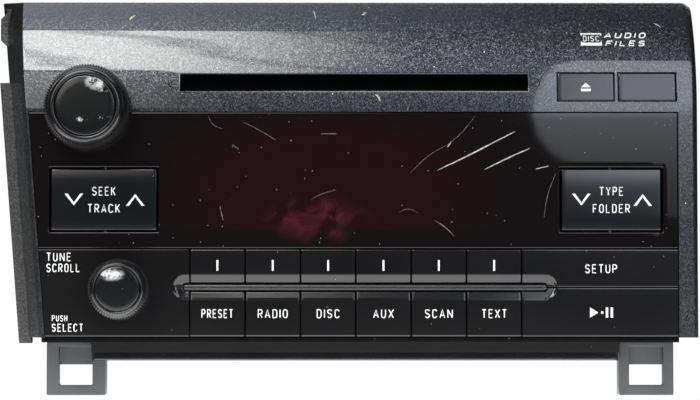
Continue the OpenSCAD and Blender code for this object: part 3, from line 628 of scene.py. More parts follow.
slot_top = slot_z + slot_half_height
slot_bottom = slot_z - slot_half_height
opening_low = eject_low.z - key_gap
opening_high = eject_high.z + key_gap
column_marks = [left_start + left_round, shell_low.x + leg_width + left_round, -slot_half, slot_half,
                eject_low.x - key_gap, eject_high.x + key_gap, blank_low.x - key_gap,
                blank_high.x + key_gap, field_right, shell_high.x - side_round]
left_lines = [left_start + left_round * (1 - math.sin(math.pi / 2 * i / 4)) for i in range(4, 0, -1)]
columns = [left_start - wall_step, left_start - wall_step / 2] + left_lines
columns += lines_between(column_marks, 2.5 * mm) + arc_steps(shell_high.x, side_round)[1:]
columns += [shell_high.x + wall_step]
row_marks = [shell_low.z, field_top, opening_low, slot_bottom, slot_top, opening_high,
             shell_high.z - top_round]
rows = lines_between(row_marks, 1.3 * mm) + arc_steps(shell_high.z, top_round)[1:]
rows += [shell_high.z + wall_step]


def fascia_hole(x, z):
    in_slot = abs(x) < slot_half and slot_bottom < z < slot_top
    in_eject = eject_low.x - key_gap < x < eject_high.x + key_gap and opening_low < z < opening_high
    in_blank = blank_low.x - key_gap < x < blank_high.x + key_gap and opening_low < z < opening_high
    in_field = shell_low.x + leg_width + left_round < x < field_right and z < field_top
    return in_slot or in_eject or in_blank or in_field


fascia_bm = grid_surface(columns, rows, fascia_point, fascia_hole)
fascia = from_bmesh("fascia_shell", fascia_bm, closed=False)
wall = fascia.modifiers.new("wall", "SOLIDIFY")
wall.thickness = shell_wall
wall.offset = -1
round_edges(fascia, 0.25)
settle(fascia, "radio", charcoal, "fascia")
print("fascia faces:", len(fascia.data.polygons))

# %% [markdown]
# At each end of the disc slot the moulder left a small notch for the guide pins. A raised lip runs
# round it, so it is drawn as a thin round wire bent into a U, sitting half sunk in the shell. Thin black
# wires beside and inside the lip are painted shade: they draw the dark of the notch's recess.
# %% Slot notches
def wire(name, points, thickness_mm, body, material, closed=False):
    """A round wire through points, kept as a curve."""
    curve = bpy.data.curves.new(name, "CURVE")
    curve.dimensions = "3D"
    curve.bevel_depth = thickness_mm * mm / 2
    curve.bevel_resolution = 3
    curve.use_fill_caps = True
    spline = curve.splines.new("POLY")
    spline.points.add(len(points) - 1)
    for target, point in zip(spline.points, points):
        target.co = (*point, 1)
    spline.use_cyclic_u = closed
    spline.use_smooth = True
    piece = bpy.data.objects.new(name, curve)
    scene.collection.objects.link(piece)
    return settle(piece, body, material)


def notch_outline(side, radius_mm):
    """A U that opens towards the slot, drawn on the rolled face."""
    centre_x = side * (slot_half + 2.2 * mm)
    turns = [math.pi / 2 + math.pi * i / 16 for i in range(17)]
    reach = radius_mm * mm
    arc = [(centre_x - side * math.cos(a) * reach, slot_z + math.sin(a) * reach) for a in turns]
    ends = [(side * (slot_half + 0.3 * mm), slot_z + reach * s) for s in (1, -1)]
    return [(x, face_at(z) - 0.02 * mm, z) for x, z in [ends[0], *arc, ends[1]]]


def notch_ring(radius_mm):
    """A closed ring round the right notch."""
    turns = [2 * math.pi * i / 24 for i in range(24)]
    reach = radius_mm * mm
    ring = [(slot_half + 2.4 * mm + reach * math.cos(a), slot_z + reach * math.sin(a)) for a in turns]
    return [(x, face_at(z) - 0.02 * mm, z) for x, z in ring]


wire("notch_lip_left", notch_outline(-1, 1.35), 0.55, "radio", charcoal)
# painted shade: black wires outside and inside the lip stand for the dark of the notch recess
wire("notch_shade_rim_left", notch_outline(-1, 1.75), 0.42, "radio", carrier_black)
wire("notch_shade_inner_left", notch_outline(-1, 0.7), 0.3, "radio", carrier_black)
wire("notch_lip_right", notch_ring(1.0), 0.5, "radio", charcoal, closed=True)
rim_z = [slot_bottom - 0.05 * mm, slot_top + 0.05 * mm]
rim_corners = [(-slot_half, rim_z[0]), (slot_half, rim_z[0]), (slot_half, rim_z[1]), (-slot_half, rim_z[1])]
rim_line = [(x, face_at(z) + 0.3 * mm, z) for x, z in rim_corners]
wire("slot_rim", rim_line, 1.0, "radio", charcoal, closed=True)
# painted shade: a black ring round the right notch's lip
wire("notch_shade_rim_right", notch_ring(1.4), 0.34, "radio", carrier_black, closed=True)

# %% [markdown]
# Two strips of felt keep dust out of the drive. Each free edge ripples in soft waves and overlaps the
# other strip, so nothing shows through; the upper strip sits a little behind the lower one.
# %% Slot felt
def felt_strip(name, low_z, high_z, y, free_edge, replaces=None):
    """A strip of felt whose free edge ripples in soft waves."""
    columns = lines_between([felt_low.x, felt_high.x], 1.2 * mm)
    rows = lines_between([low_z, high_z], 1.0 * mm)
    finger = 15 * mm

    def place(x, z):
        reach = abs(z - free_edge) / (high_z - low_z)
        ripple = 0.35 * mm * math.cos(2 * math.pi * x / finger) * (1 - reach)
        return Vector((x, y + ripple, z))

    piece = from_bmesh(name, grid_surface(columns, rows, place), closed=False)
    thick = piece.modifiers.new("felt_thickness", "SOLIDIFY")
    thick.thickness = 0.5 * mm
    thick.offset = -1
    return settle(piece, "radio", felt_black, replaces)


felt_lap = 0.6 * mm
felt_strip("slot_felt_lower", felt_low.z, slot_z + felt_lap, felt_low.y + 0.4 * mm, slot_z + felt_lap,
           "slot_felt")
felt_strip("slot_felt_upper", slot_z - felt_lap, felt_high.z, felt_low.y + 1.1 * mm, slot_z - felt_lap)

# %% [markdown]
# The window is one sheet of smoked acrylic, moulded with two openings for the rocker keys. Its left
# side leans with the shell, and its top edge steps aside for the volume shaft.
# %% Smoked window
rocker_gap = 0.8 * mm
seek_low, seek_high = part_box("seek_rocker")
type_low, type_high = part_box("type_rocker")
window_low_z = seek_low.z - rocker_gap
window_high_z = seek_high.z + rocker_gap


def lens_point(x, z):
    down = shaft_notch(x, lens_high.z - z, 8 * mm)
    return Vector((lean_x(x, z, lens_low.x, lens_high.z, seek_low.x - rocker_gap), face_y, z - down))


def lens_hole(x, z):
    in_seek = seek_low.x - rocker_gap < x < seek_high.x + rocker_gap
    in_type = type_low.x - rocker_gap < x < type_high.x + rocker_gap
    return (in_seek or in_type) and window_low_z < z < window_high_z


lens_columns = lines_between([lens_low.x, seek_low.x - rocker_gap, seek_high.x + rocker_gap,
                              type_low.x - rocker_gap, type_high.x + rocker_gap, lens_high.x], 2 * mm)
lens_rows = lines_between([lens_low.z, window_low_z, window_high_z, lens_high.z], 2 * mm)
lens_sheet = grid_surface(lens_columns, lens_rows, lens_point, lens_hole)
window = from_bmesh("smoked_window", lens_sheet, closed=False)
wall = window.modifiers.new("wall", "SOLIDIFY")
wall.thickness = lens_high.y - lens_low.y
wall.offset = -1
round_edges(window, 0.3)
settle(window, "radio", acrylic, "display_lens")

# %% [markdown]
# The twelve keys and the tuning panel share one shallow trough that follows the light bar. The trough
# is a slope towards the bar's middle line, so every key gets its height from the same small function,
# and the troughs line up across the gaps by themselves.
# %% Keys and tuning panel
trough_half = 4.25 * mm
trough_upper_depth = 1.3 * mm
trough_lower_depth = 1.0 * mm
trough_end_wall = 0.8 * mm
bar_half = (bar_high.z - bar_low.z) / 2
bar_room = bar_half + 0.4 * mm
bar_end_left = bar_low.x + bar_half
bar_end_right = bar_high.x - bar_half


def trough_reach(x):
    """Half height of the trough at x: full along the bar, then closing in a half circle."""
    aside = max(bar_end_left - x, 0.0, x - bar_end_right)
    return math.sqrt(max(0.0, trough_half ** 2 - aside ** 2))


def key_front(x, z):
    """Y of the key faces: flat, with the trough cut in."""
    rise = z - split_z
    slope = (trough_half - abs(rise)) / (trough_half - bar_half)
    end_wall = (trough_reach(x) - abs(rise)) / trough_end_wall
    above = max(0.0, min(1.0, 0.5 + 0.5 * rise / bar_half))
    depth = trough_lower_depth + (trough_upper_depth - trough_lower_depth) * above
    left_end = min(1.0, max(0.0, bar_end_left - x) / trough_half)
    return face_y + depth * (1 - 0.4 * left_end) * max(0.0, min(1.0, slope, end_wall))


def bar_cut(x):
    """Half height of the room left for the bar at this x."""
    aside = max(bar_end_left - x, 0.0, x - bar_end_right)
    return math.sqrt(max(0.0, bar_room ** 2 - aside ** 2))


def key_grid(left, right, low, high, cut_low=False, cut_high=False, left_lean=False):
    """The front sheet of one key, with extra lines round the bar's ends, where a cut edge steps aside."""
    steps = [bar_room * math.sin(math.pi / 2 * i / 6) for i in range(7)]
    steps += [0.4 * mm * i for i in range(3, 12)]
    bar_ends = [bar_end_right + step for step in steps] + [bar_end_left - step for step in steps]
    marks = {left, right, *(x for x in bar_ends if left < x < right)}
    columns = lines_between(sorted(marks), 0.7 * mm)
    count = max(4, round((high - low) / (0.55 * mm)))
    shares = [i / count for i in range(count + 1)]

    def place(x, share):
        bottom = max(low, split_z + bar_cut(x)) if cut_low else low
        top = min(high, split_z - bar_cut(x)) if cut_high else high
        z = bottom + (top - bottom) * share
        leaned = lean_x(x, z, left, panel_high.z, left + 15 * mm) if left_lean else x
        return Vector((leaned, key_front(x, z), z))

    return grid_surface(columns, shares, place)


def finish_key(name, bm, back, body, material, node, edge_mm=0.4):
    close_back(bm, back)
    piece = from_bmesh(name, bm)
    round_edges(piece, edge_mm)
    return settle(piece, body, material, node)


key_back = face_y + 5 * mm
upper_keys = [f"station_key_{i}" for i in range(1, 7)]
lower_keys = ["preset_key", "radio_key", "disc_key", "aux_key", "scan_key", "text_key"]
for node in upper_keys + lower_keys + ["setup_key", "play_key"]:
    low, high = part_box(node)
    sheet = key_grid(low.x, high.x, low.z, high.z, node == "setup_key", node == "play_key")
    finish_key(node + "_cap", sheet, key_back, node, key_satin, node)

panel = bmesh.new()
panel_halves = ((split_z, panel_high.z, True, False), (panel_low.z, split_z, False, True))
for half_low, half_high, cut_low, cut_high in panel_halves:
    half = key_grid(panel_low.x, panel_high.x, half_low, half_high, cut_low, cut_high, left_lean=True)
    part = bpy.data.meshes.new("panel_half")
    half.to_mesh(part)
    half.free()
    panel.from_mesh(part)
    bpy.data.meshes.remove(part)
bmesh.ops.remove_doubles(panel, verts=panel.verts, dist=0.01 * mm)
finish_key("tuning_panel", panel, face_y + 3 * mm, "radio", key_satin, "tune_panel")

# %% [markdown]
# The light bar is a long pill with a narrow groove along its middle. Loops of points at growing
# distances from the middle line, each at its own depth, give groove, ridge and rounded edge at once.
# %% Light bar
def pill_loop(radius, y, turns=12):
    """Points round the bar's middle line at one distance."""
    loop = []
    for centre, start in ((bar_end_right, -math.pi / 2), (bar_end_left, math.pi / 2)):
        for i in range(turns + 1):
            angle = start + math.pi * i / turns
            loop.append(Vector((centre + radius * math.cos(angle), y, split_z + radius * math.sin(angle))))
    return loop


def loops_to_bmesh(loops):
    """Skin neighbouring loops of equal length, and cap both ends."""
    bm = bmesh.new()
    rings = [[bm.verts.new(p) for p in loop] for loop in loops]
    for ring_a, ring_b in zip(rings, rings[1:]):
        count = len(ring_a)
        for i in range(count):
            j = (i + 1) % count
            bm.faces.new([ring_a[i], ring_a[j], ring_b[j], ring_b[i]])
    bm.faces.new(rings[0])
    bm.faces.new(rings[-1])
    return bm


bar_profile = [(0.06, 0.42), (0.14, 0.4), (0.22, 0.16), (0.34, 0.03), (0.5, 0.0), (0.68, 0.03), (0.84, 0.14),
               (0.95, 0.34), (1.0, 0.7), (1.0, 5.0)]
bar_loops = [pill_loop(bar_half * r, bar_low.y + depth * mm) for r, depth in bar_profile]
light_bar = from_bmesh("light_bar_pill", loops_to_bmesh(bar_loops))
settle(light_bar, "radio", bar_dark, "light_bar")

# %% [markdown]
# The rockers are crowned very slightly, so a lamp's reflection slides over them in a soft gradient.
# The eject key and its blank twin follow the roll of the shell, so their faces are flush with it.
# %% Rockers and small keys
def crowned_key(node, material, front, back, edge_mm):
    """A key whose face follows a rule: front(z, v) gives y, with v from -1 to 1 up the key."""
    low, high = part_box(node)
    columns = lines_between([low.x, high.x], 1.5 * mm)
    rows = lines_between([low.z, high.z], 0.8 * mm)

    def place(x, z):
        v = (2 * z - low.z - high.z) / (high.z - low.z)
        return Vector((x, front(z, v), z))

    finish_key(node + "_cap", grid_surface(columns, rows, place), back, node, material, node, edge_mm)


def rocker_front(z, v):
    return face_y + 0.22 * mm * v ** 4


def rolled_front(z, v):
    return face_at(z)


for node in ("seek_rocker", "type_rocker"):
    crowned_key(node, rocker_satin, rocker_front, face_y + 5 * mm, 0.3)
for node in ("eject_key", "blank_key"):
    crowned_key(node, small_key_satin, rolled_front, face_y + 6 * mm, 0.35)

# %% [markdown]
# A knob is a turned shape: a profile spun round its axis. Only the skirt is knurled, so the spin adds
# small teeth to the radius between two depths. The face is a separate pressed-in cap with a fine
# groove round it.
# %% Knobs
plain_sides = 120
sides_per_tooth = 6


def turned(name, node, profile, body, material, teeth=0, tooth_mm=0.0, grip=(0, 0)):
    """Spin a profile of (radius, depth from the front), in millimetres, round the node's axis."""
    low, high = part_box(node)
    centre_x = (low.x + high.x) / 2
    centre_z = (low.z + high.z) / 2
    count = teeth * sides_per_tooth if teeth else plain_sides
    loops = []
    for radius, depth in profile:
        loop = []
        for i in range(count):
            angle = 2 * math.pi * i / count
            in_grip = teeth and grip[0] <= depth <= grip[1]
            bite = tooth_mm * (0.5 + 0.5 * math.cos(angle * teeth)) if in_grip else 0
            reach = (radius - bite) * mm
            loop.append(Vector((centre_x + reach * math.cos(angle), low.y + depth * mm,
                                centre_z + reach * math.sin(angle))))
        loops.append(loop)
    piece = from_bmesh(name, loops_to_bmesh(loops))
    return settle(piece, body, material, node)


volume_profile = [(9.6, 2.2), (10.75, 1.6), (10.8, 0.3), (11.0, 0.06), (11.3, 0.0), (11.9, 0.02),
                  (12.2, 0.16), (12.8, 0.9), (13.25, 2.0), (13.35, 2.6), (13.6, 2.9), (14.6, 4.2),
                  (15.1, 5.2), (15.2, 6.2), (15.2, 9.0), (15.2, 12.6), (14.9, 13.2), (14.2, 13.8)]
turned("volume_knob_grip", "volume_knob", volume_profile, "volume_dial", knob_grip,
       96, 0.6, (2.85, 12.7))
cap_profile = [(0.02, 0.0), (4.0, 0.0), (8.0, 0.02), (10.0, 0.06), (10.3, 0.14), (10.5, 0.35),
               (10.55, 1.9), (9.5, 1.95)]
turned("volume_knob_face", "volume_knob_cap", cap_profile, "volume_dial", volume_face)
tune_profile = [(7.0, 2.2), (8.0, 1.6), (8.05, 0.3), (8.2, 0.06), (8.4, 0.0), (8.7, 0.03), (8.9, 0.15),
                (9.2, 0.6), (9.35, 1.2), (9.4, 1.5), (9.6, 1.7), (10.3, 2.6), (10.7, 3.4), (10.8, 4.4),
                (10.8, 7.0), (10.8, 9.8), (10.5, 10.3), (9.9, 10.8)]
turned("tune_knob_grip", "tune_knob", tune_profile, "tune_dial", knob_grip,
       64, 0.55, (1.65, 9.9))
tune_cap_profile = [(0.02, 0.0), (3.0, 0.0), (6.0, 0.02), (7.4, 0.06), (7.7, 0.14), (7.85, 0.35),
                    (7.9, 1.9), (7.0, 1.95)]
turned("tune_knob_face", "tune_knob_cap", tune_cap_profile, "tune_dial", tune_face)

# %% [markdown]
# Along the bottom of the skirt runs a soft black sealing strip. Its face leans back towards the top, so
# it stays dark, and its rounded lower lip catches the light from the floor.
# %% Sealing strip
seal_left, seal_right = -93.0 * mm, 94.0 * mm
skirt_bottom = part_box("front_base")[0].z
skirt_face = -7.05
seal_profile = [(skirt_face, 0.1), (-9.3, 0.1), (-9.75, 0.3), (-9.85, 0.7), (-9.6, 1.1), (-8.4, 3.0),
                (-8.0, 3.25), (skirt_face, 3.3)]
seal_stations = ((seal_left, 0.3), (seal_left + 0.4 * mm, 0.0), (seal_right - 0.4 * mm, 0.0),
                 (seal_right, 0.3))
seal_loops = []
for x, inset in seal_stations:
    loop = []
    for y, z in seal_profile:
        height = z * (1 - inset / 3) + inset / 2
        loop.append(Vector((x, min(skirt_face, y + inset) * mm, skirt_bottom + height * mm)))
    seal_loops.append(loop)
seal = from_bmesh("sealing_strip", loops_to_bmesh(seal_loops))
keep_flat(seal)
settle(seal, "radio", bar_dark)

# %% [markdown]
# Legends are printed flat on the keys and follow the roll on the shell. Panel lettering is an even
# line with round ends, so each letter is a few strokes in a unit box: straight lines and elliptical
# bends. A word is its letters side by side, fitted to the height and width of a key legend.
# %% Legends
ink_film = 0.02 * mm


def flat_face(z):
    return face_y


def bend(centre_x, centre_z, half_wide, half_high, start, stop):
    """Points along an elliptical bend, angles in degrees."""
    turns = [math.radians(start + (stop - start) * i / 10) for i in range(11)]
    return [(centre_x + half_wide * math.cos(a), centre_z + half_high * math.sin(a)) for a in turns]


bowl_top = bend(0.5, 0.74, 0.5, 0.26, 0, 180)
bowl_low = bend(0.5, 0.26, 0.5, 0.26, 180, 360)
belly = bend(0.5, 0.72, 0.5, 0.28, 90, 0) + bend(0.5, 0.28, 0.5, 0.28, 0, -90)
flag = [(0, 0), (0, 1), (0.5, 1)] + bend(0.55, 0.74, 0.45, 0.26, 90, -90) + [(0, 0.48)]
letter_strokes = {
    "A": [[(0, 0), (0.5, 1), (1, 0)], [(0.17, 0.3), (0.83, 0.3)]],
    "C": [bend(0.5, 0.74, 0.5, 0.26, 12, 180) + bend(0.5, 0.26, 0.5, 0.26, 180, 348)],
    "D": [[(0, 0), (0, 1), (0.45, 1)] + belly + [(0, 0)]],
    "E": [[(1, 1), (0, 1), (0, 0), (1, 0)], [(0, 0.52), (0.85, 0.52)]],
    "F": [[(1, 1), (0, 1), (0, 0)], [(0, 0.5), (0.85, 0.5)]],
    "H": [[(0, 0), (0, 1)], [(1, 0), (1, 1)], [(0, 0.52), (1, 0.52)]],
    "I": [[(0, 0), (0, 1)]],
    "K": [[(0, 0), (0, 1)], [(1, 1), (0, 0.4)], [(0.34, 0.6), (1, 0)]],
    "L": [[(0, 1), (0, 0), (1, 0)]],
    "N": [[(0, 0), (0, 1)], [(0, 1), (1, 0)], [(1, 0), (1, 1)]],
    "O": [bowl_top + bowl_low + [(1, 0.74)]],
    "P": [flag],
    "R": [flag, [(0.45, 0.48), (1, 0)]],
    "S": [bend(0.5, 0.75, 0.5, 0.25, 20, 262) + bend(0.5, 0.25, 0.5, 0.25, 82, -160)],
    "T": [[(0, 1), (1, 1)], [(0.5, 1), (0.5, 0)]],
    "U": [[(0, 1)] + bowl_low + [(1, 1)]],
    "X": [[(0, 1), (1, 0)], [(0, 0), (1, 1)]],
    "Y": [[(0, 1), (0.5, 0.48), (1, 1)], [(0.5, 0.48), (0.5, 0)]],
}
letter_widths = {"I": 0.0, "L": 0.36, "E": 0.38, "F": 0.37, "A": 0.46, "X": 0.45, "T": 0.42,
                 "Y": 0.46, "N": 0.46}
usual_width = 0.41
letter_space = 0.34


def lettering(name, words, body, centre_x, centre_z, width_mm, height_mm, front=flat_face,
              stroke_mm=0.39, slant=0.0):
    """Print a word inside a box on the front, as flat strokes of ink."""
    spans = [letter_widths.get(letter, usual_width) for letter in words]
    total = sum(spans) + letter_space * (len(words) - 1)
    room_x = (width_mm - stroke_mm) * mm
    room_z = (height_mm - stroke_mm) * mm
    curve = bpy.data.curves.new(name, "CURVE")
    curve.dimensions = "3D"
    curve.bevel_depth = stroke_mm * mm / 2
    curve.bevel_resolution = 2
    curve.use_fill_caps = True
    pen = 0.0
    for letter, span in zip(words, spans):
        for stroke in letter_strokes[letter]:
            spline = curve.splines.new("POLY")
            spline.points.add(len(stroke) - 1)
            for target, (across, up) in zip(spline.points, stroke):
                x = centre_x + ((pen + across * span) / total - 0.5) * room_x + slant * (up - 0.5) * room_z
                target.co = (x, 0, centre_z + (up - 0.5) * room_z, 1)
        pen += span + letter_space
    setting = bpy.data.objects.new(name + "_setting", curve)
    scene.collection.objects.link(setting)
    bpy.context.view_layer.update()
    depsgraph = bpy.context.evaluated_depsgraph_get()
    data = bpy.data.meshes.new_from_object(setting.evaluated_get(depsgraph))
    bpy.data.objects.remove(setting)
    for vert in data.vertices:
        thickness = vert.co.y / (stroke_mm * mm / 2)
        vert.co.y = front(vert.co.z) + thickness * 1.5 * ink_film
    data.materials.clear()
    piece = bpy.data.objects.new(name, data)
    scene.collection.objects.link(piece)
    return settle(piece, body, ink)


def sign(name, shapes, body, centre_x, centre_z, front=flat_face):
    """Print flat outlines, given in millimetres about a centre."""
    bm = bmesh.new()
    for outline in shapes:
        corners = []
        for x_mm, z_mm in outline:
            z = centre_z + z_mm * mm
            corners.append(bm.verts.new((centre_x + x_mm * mm, front(z) - ink_film, z)))
        bm.faces.new(corners)
    thicken(bm, 2 * ink_film)
    piece = from_bmesh(name, bm)
    for face in piece.data.polygons:
        face.use_smooth = False
    return settle(piece, body, ink)


def middle(node):
    low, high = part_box(node)
    return (low.x + high.x) / 2, (low.z + high.z) / 2


def chevron(half_width, height, stroke, up):
    """An inverted V when up is 1, and a V when it is -1."""
    lift = stroke * 1.25
    outer = [(-half_width, -height / 2), (0, height / 2 - lift * 0.1), (half_width, -height / 2)]
    foot = half_width - stroke * 1.15
    inner = [(foot, -height / 2), (0, height / 2 - lift), (-foot, -height / 2)]
    return [[(x, z * up) for x, z in outer + inner]]


def rectangle(x, z, width, height):
    """The four corners of a printed bar."""
    left, right = x - width / 2, x + width / 2
    low, high = z - height / 2, z + height / 2
    return [(left, low), (right, low), (right, high), (left, high)]


for node in upper_keys:
    centre_x, centre_z = middle(node)
    sign(node + "_mark", [rectangle(0, 0, 0.66, 3.8)], node, centre_x, centre_z + 0.35 * mm)
legend_widths = {"preset_key": 11.2, "radio_key": 10.6, "disc_key": 8.1, "aux_key": 7.3,
                 "scan_key": 9.9, "text_key": 8.9}
for node, width_mm in legend_widths.items():
    centre_x, centre_z = middle(node)
    lettering(node + "_legend", node[:-4].upper(), node, centre_x, centre_z + 0.1 * mm, width_mm, 3.2)

setup_x, setup_z = middle("setup_key")
lettering("setup_legend", "SETUP", "setup_key", setup_x + 0.3 * mm, setup_z - 0.2 * mm, 11.3, 3.2)
play_x, play_z = middle("play_key")
play_sign = [[(-4.0, 1.8), (-4.0, -1.8), (-1.1, 0)], rectangle(0.3, 0, 0.8, 0.8),
             rectangle(2.0, 0, 0.85, 3.6), rectangle(3.7, 0, 0.85, 3.6)]
sign("play_legend", play_sign, "play_key", play_x + 0.3 * mm, play_z - 0.1 * mm)

rocker_words = {"seek_rocker": ("SEEK", 8.3, "TRACK", 11.5), "type_rocker": ("TYPE", 8.5, "FOLDER", 13.2)}
for rocker, (upper, upper_mm, lower, lower_mm) in rocker_words.items():
    centre_x, centre_z = middle(rocker)
    lettering(rocker + "_upper_word", upper, rocker, centre_x, centre_z + 3.0 * mm, upper_mm, 3.2)
    lettering(rocker + "_lower_word", lower, rocker, centre_x, centre_z - 3.1 * mm, lower_mm, 3.2)
    sign(rocker + "_down_arrow", chevron(3.3, 4.3, 0.95, -1), rocker, centre_x - 10.6 * mm, centre_z)
    sign(rocker + "_up_arrow", chevron(3.3, 4.3, 0.95, 1), rocker, centre_x + 11.1 * mm, centre_z)

panel_left = panel_low.x + 2.7 * mm
tune_words = (("TUNE", 8.7, 3.1, -2.65, 0.0), ("SCROLL", 11.8, 3.1, -6.5, 0.0),
              ("PUSH", 5.5, 2.2, -24.3, 2.0), ("SELECT", 11.1, 2.9, -27.6, 2.0))
for word, width_mm, height_mm, drop_mm, inset_mm in tune_words:
    lettering("panel_" + word.lower(), word, "radio", panel_left + (inset_mm + width_mm / 2) * mm,
              panel_high.z + drop_mm * mm, width_mm, height_mm, stroke_mm=0.11 * height_mm + 0.06)

eject_x, eject_z = middle("eject_key")
eject_sign = [[(-1.75, -0.15), (1.75, -0.15), (0, 1.45)], rectangle(0, -1.15, 3.5, 0.9)]
sign("eject_legend", eject_sign, "eject_key", eject_x, eject_z, face_at)

# %% [markdown]
# The printing on the top band stands for the usual format marks: a small disc sign and two plain
# words in slanted type.
# %% Format marks
marks_x = 84.7 * mm
marks_z = 50.9 * mm
disc_sign = [rectangle(0, 2.0, 7.5, 0.5), rectangle(-3.5, 0.2, 0.5, 3.6), rectangle(3.5, 0.2, 0.5, 3.6),
             rectangle(0, -1.9, 7.5, 1.1)]
sign("disc_mark_frame", disc_sign, "radio", marks_x, marks_z, face_at)
lettering("disc_mark_word", "DISC", "radio", marks_x, marks_z + 0.2 * mm, 5.8, 2.2, face_at, 0.3)
words_x = marks_x + 12.2 * mm
lettering("format_mark_upper", "AUDIO", "radio", words_x, marks_z + 1.4 * mm, 14.8, 2.2, face_at, 0.5, 0.35)
lettering("format_mark_lower", "FILES", "radio", words_x, marks_z - 1.6 * mm, 14.0, 2.2, face_at, 0.5, 0.35)

# %% [markdown]
# A used radio shows scratches. Each is a ribbon that lies on the surface, follows it, and tapers to
# nothing at both ends; its finish is the pale crushed plastic of a fresh scratch.
# %% Scratches
def crushed_plastic(name, dark, light):
    """Whitened plastic along a scratch, uneven along its length."""
    material, tree, shader = new_finish(name, dark, 0.6)
    place = add(tree, "TexCoord").outputs["Object"]
    color_wander(tree, shader, place, dark, light, 0.9)
    return material


fresh_cut = crushed_plastic("fresh_cut", "6f6d6b", "acaaa6")
old_cut = crushed_plastic("old_cut", "2e2b2b", "7a7674")
fresh_from_mm = 0.4


def scratch(name, start, end, width_mm, bend_mm=0.0, front=flat_face):
    """A tapering ribbon from start to end, given in millimetres on the front."""
    bm = bmesh.new()
    count = 14
    length = math.hypot(end[0] - start[0], end[1] - start[1])
    side = (-(end[1] - start[1]) / length, (end[0] - start[0]) / length)
    pairs = []
    for i in range(count + 1):
        share = i / count
        bow = bend_mm * math.sin(math.pi * share) + random.uniform(-0.04, 0.04)
        middle_x = start[0] + (end[0] - start[0]) * share + side[0] * bow
        middle_z = start[1] + (end[1] - start[1]) * share + side[1] * bow
        taper = math.sin(math.pi * min(1, share * 0.94 + 0.03)) ** 0.5
        half = width_mm / 2 * taper * random.uniform(0.7, 1.0)
        pair = []
        for direction in (-1, 1):
            x = (middle_x + side[0] * half * direction) * mm
            z = (middle_z + side[1] * half * direction) * mm
            pair.append(bm.verts.new((x, front(z) - 0.015 * mm, z)))
        pairs.append(pair)
    for (a, b), (c, d) in zip(pairs, pairs[1:]):
        bm.faces.new([a, c, d, b])
    thicken(bm, 0.03 * mm)
    piece = from_bmesh(name, bm)
    return settle(piece, "radio", fresh_cut if width_mm >= fresh_from_mm else old_cut)


random.seed(7)
window_scratches = (((29.4, 3.5), (57.0, 17.4), 0.6, -0.2), ((46.0, 3.8), (62.4, 11.5), 0.5, 0.1),
                    ((64.2, 4.0), (68.9, 5.1), 0.4, 0.0), ((42.8, 22.9), (33.3, 12.7), 0.16, 0.6),
                    ((33.3, 12.7), (19.8, 2.4), 0.16, -1.0), ((34.4, 13.8), (33.0, 11.8), 0.5, 0.0),
                    ((71.3, 2.4), (67.2, -13.1), 0.18, -0.8), ((28.2, -14.1), (35.3, -19.8), 0.32, 0.5),
                    ((15.6, -11.5), (22.7, -11.7), 0.16, 1.4), ((-51.8, 22.9), (-46.3, 18.2), 0.14, -1.2),
                    ((-40.0, 20.9), (-27.7, 14.2), 0.16, 0.3), ((-11.9, 16.4), (-6.0, 16.4), 0.3, 0.1),
                    ((-43.2, 12.7), (-40.8, 10.9), 0.3, 0.0), ((-47.5, -9.2), (-46.3, -14.3), 0.3, 0.0),
                    ((-15.6, -7.0), (-6.0, -3.5), 0.12, 0.6))
for i, (start, end, width_mm, bend_mm) in enumerate(window_scratches):
    scratch(f"window_scratch_{i + 1}", start, end, width_mm, bend_mm)
band_scratches = (((-14.6, 62.0), (-13.8, 58.5), 0.5, 0.2), ((-80.6, 58.2), (-78.6, 60.2), 1.2, 0.0),
                  ((-33.6, 57.0), (-29.3, 59.7), 0.3, 0.2), ((3.0, 60.3), (4.6, 61.2), 1.0, 0.0),
                  ((49.2, 52.1), (51.0, 54.4), 0.2, 0.0), ((7.6, 30.6), (9.2, 28.0), 0.9, 0.3),
                  ((18.6, 24.6), (19.9, 27.2), 0.3, 0.0), ((-68.0, 60.5), (-65.4, 57.8), 0.2, 0.1),
                  ((107.5, 57.0), (110.0, 55.4), 0.5, 0.2))
for i, (start, end, width_mm, bend_mm) in enumerate(band_scratches):
    scratch(f"shell_scratch_{i + 1}", start, end, width_mm, bend_mm, face_at)

# %% [markdown]
# A glossy front shows its lamps, so each lamp is first drawn as an outline on the front, where its
# reflection should lie. Following the mirror ray from the camera gives the lamp's real place: a flat
# panel of cloth about a metre away. Its strength changes smoothly along one side, as it does behind
# real cloth. The panels are hidden from the camera, so only their light and reflections show.
# %% Lamps placed by reflection
def mirror_ray(x, z):
    """Where a ray from the camera goes after it strikes the front at x, z."""
    point = Vector((x, face_at(z), z))
    rise = max(0.0, z - roll_z)
    normal = Vector((0, -math.sqrt(roll_radius ** 2 - rise ** 2), rise)) / roll_radius
    ray = (point - eye).normalized()
    return point, ray - 2 * ray.dot(normal) * normal


def mirror_outline(outline, reach):
    """Mirror an outline drawn on the front out to a flat lamp at this distance."""
    middle_x = sum(p[0] for p in outline) / len(outline) * mm
    middle_z = sum(p[1] for p in outline) / len(outline) * mm
    start, aim = mirror_ray(middle_x, middle_z)
    centre = start + aim * reach
    corners = []
    for x_mm, z_mm in outline:
        point, ray = mirror_ray(x_mm * mm, z_mm * mm)
        corners.append(point + ray * ((centre - point).dot(aim) / ray.dot(aim)))
    return corners


def lamp_finish(name, color, strength):
    material = bpy.data.materials.new(name)
    material.use_nodes = True
    tree = material.node_tree
    tree.nodes.clear()
    light = add(tree, "Emission", {"Color": tone(color), "Strength": strength})
    out = add(tree, "OutputMaterial")
    tree.links.new(light.outputs[0], out.inputs["Surface"])
    return material, tree, light


def lamp(name, corners, material):
    bm = bmesh.new()
    bm.faces.new([bm.verts.new(p) for p in corners])
    piece = from_bmesh(name, bm, closed=False)
    piece.data.materials.append(material)
    piece.visible_camera = False
    return piece


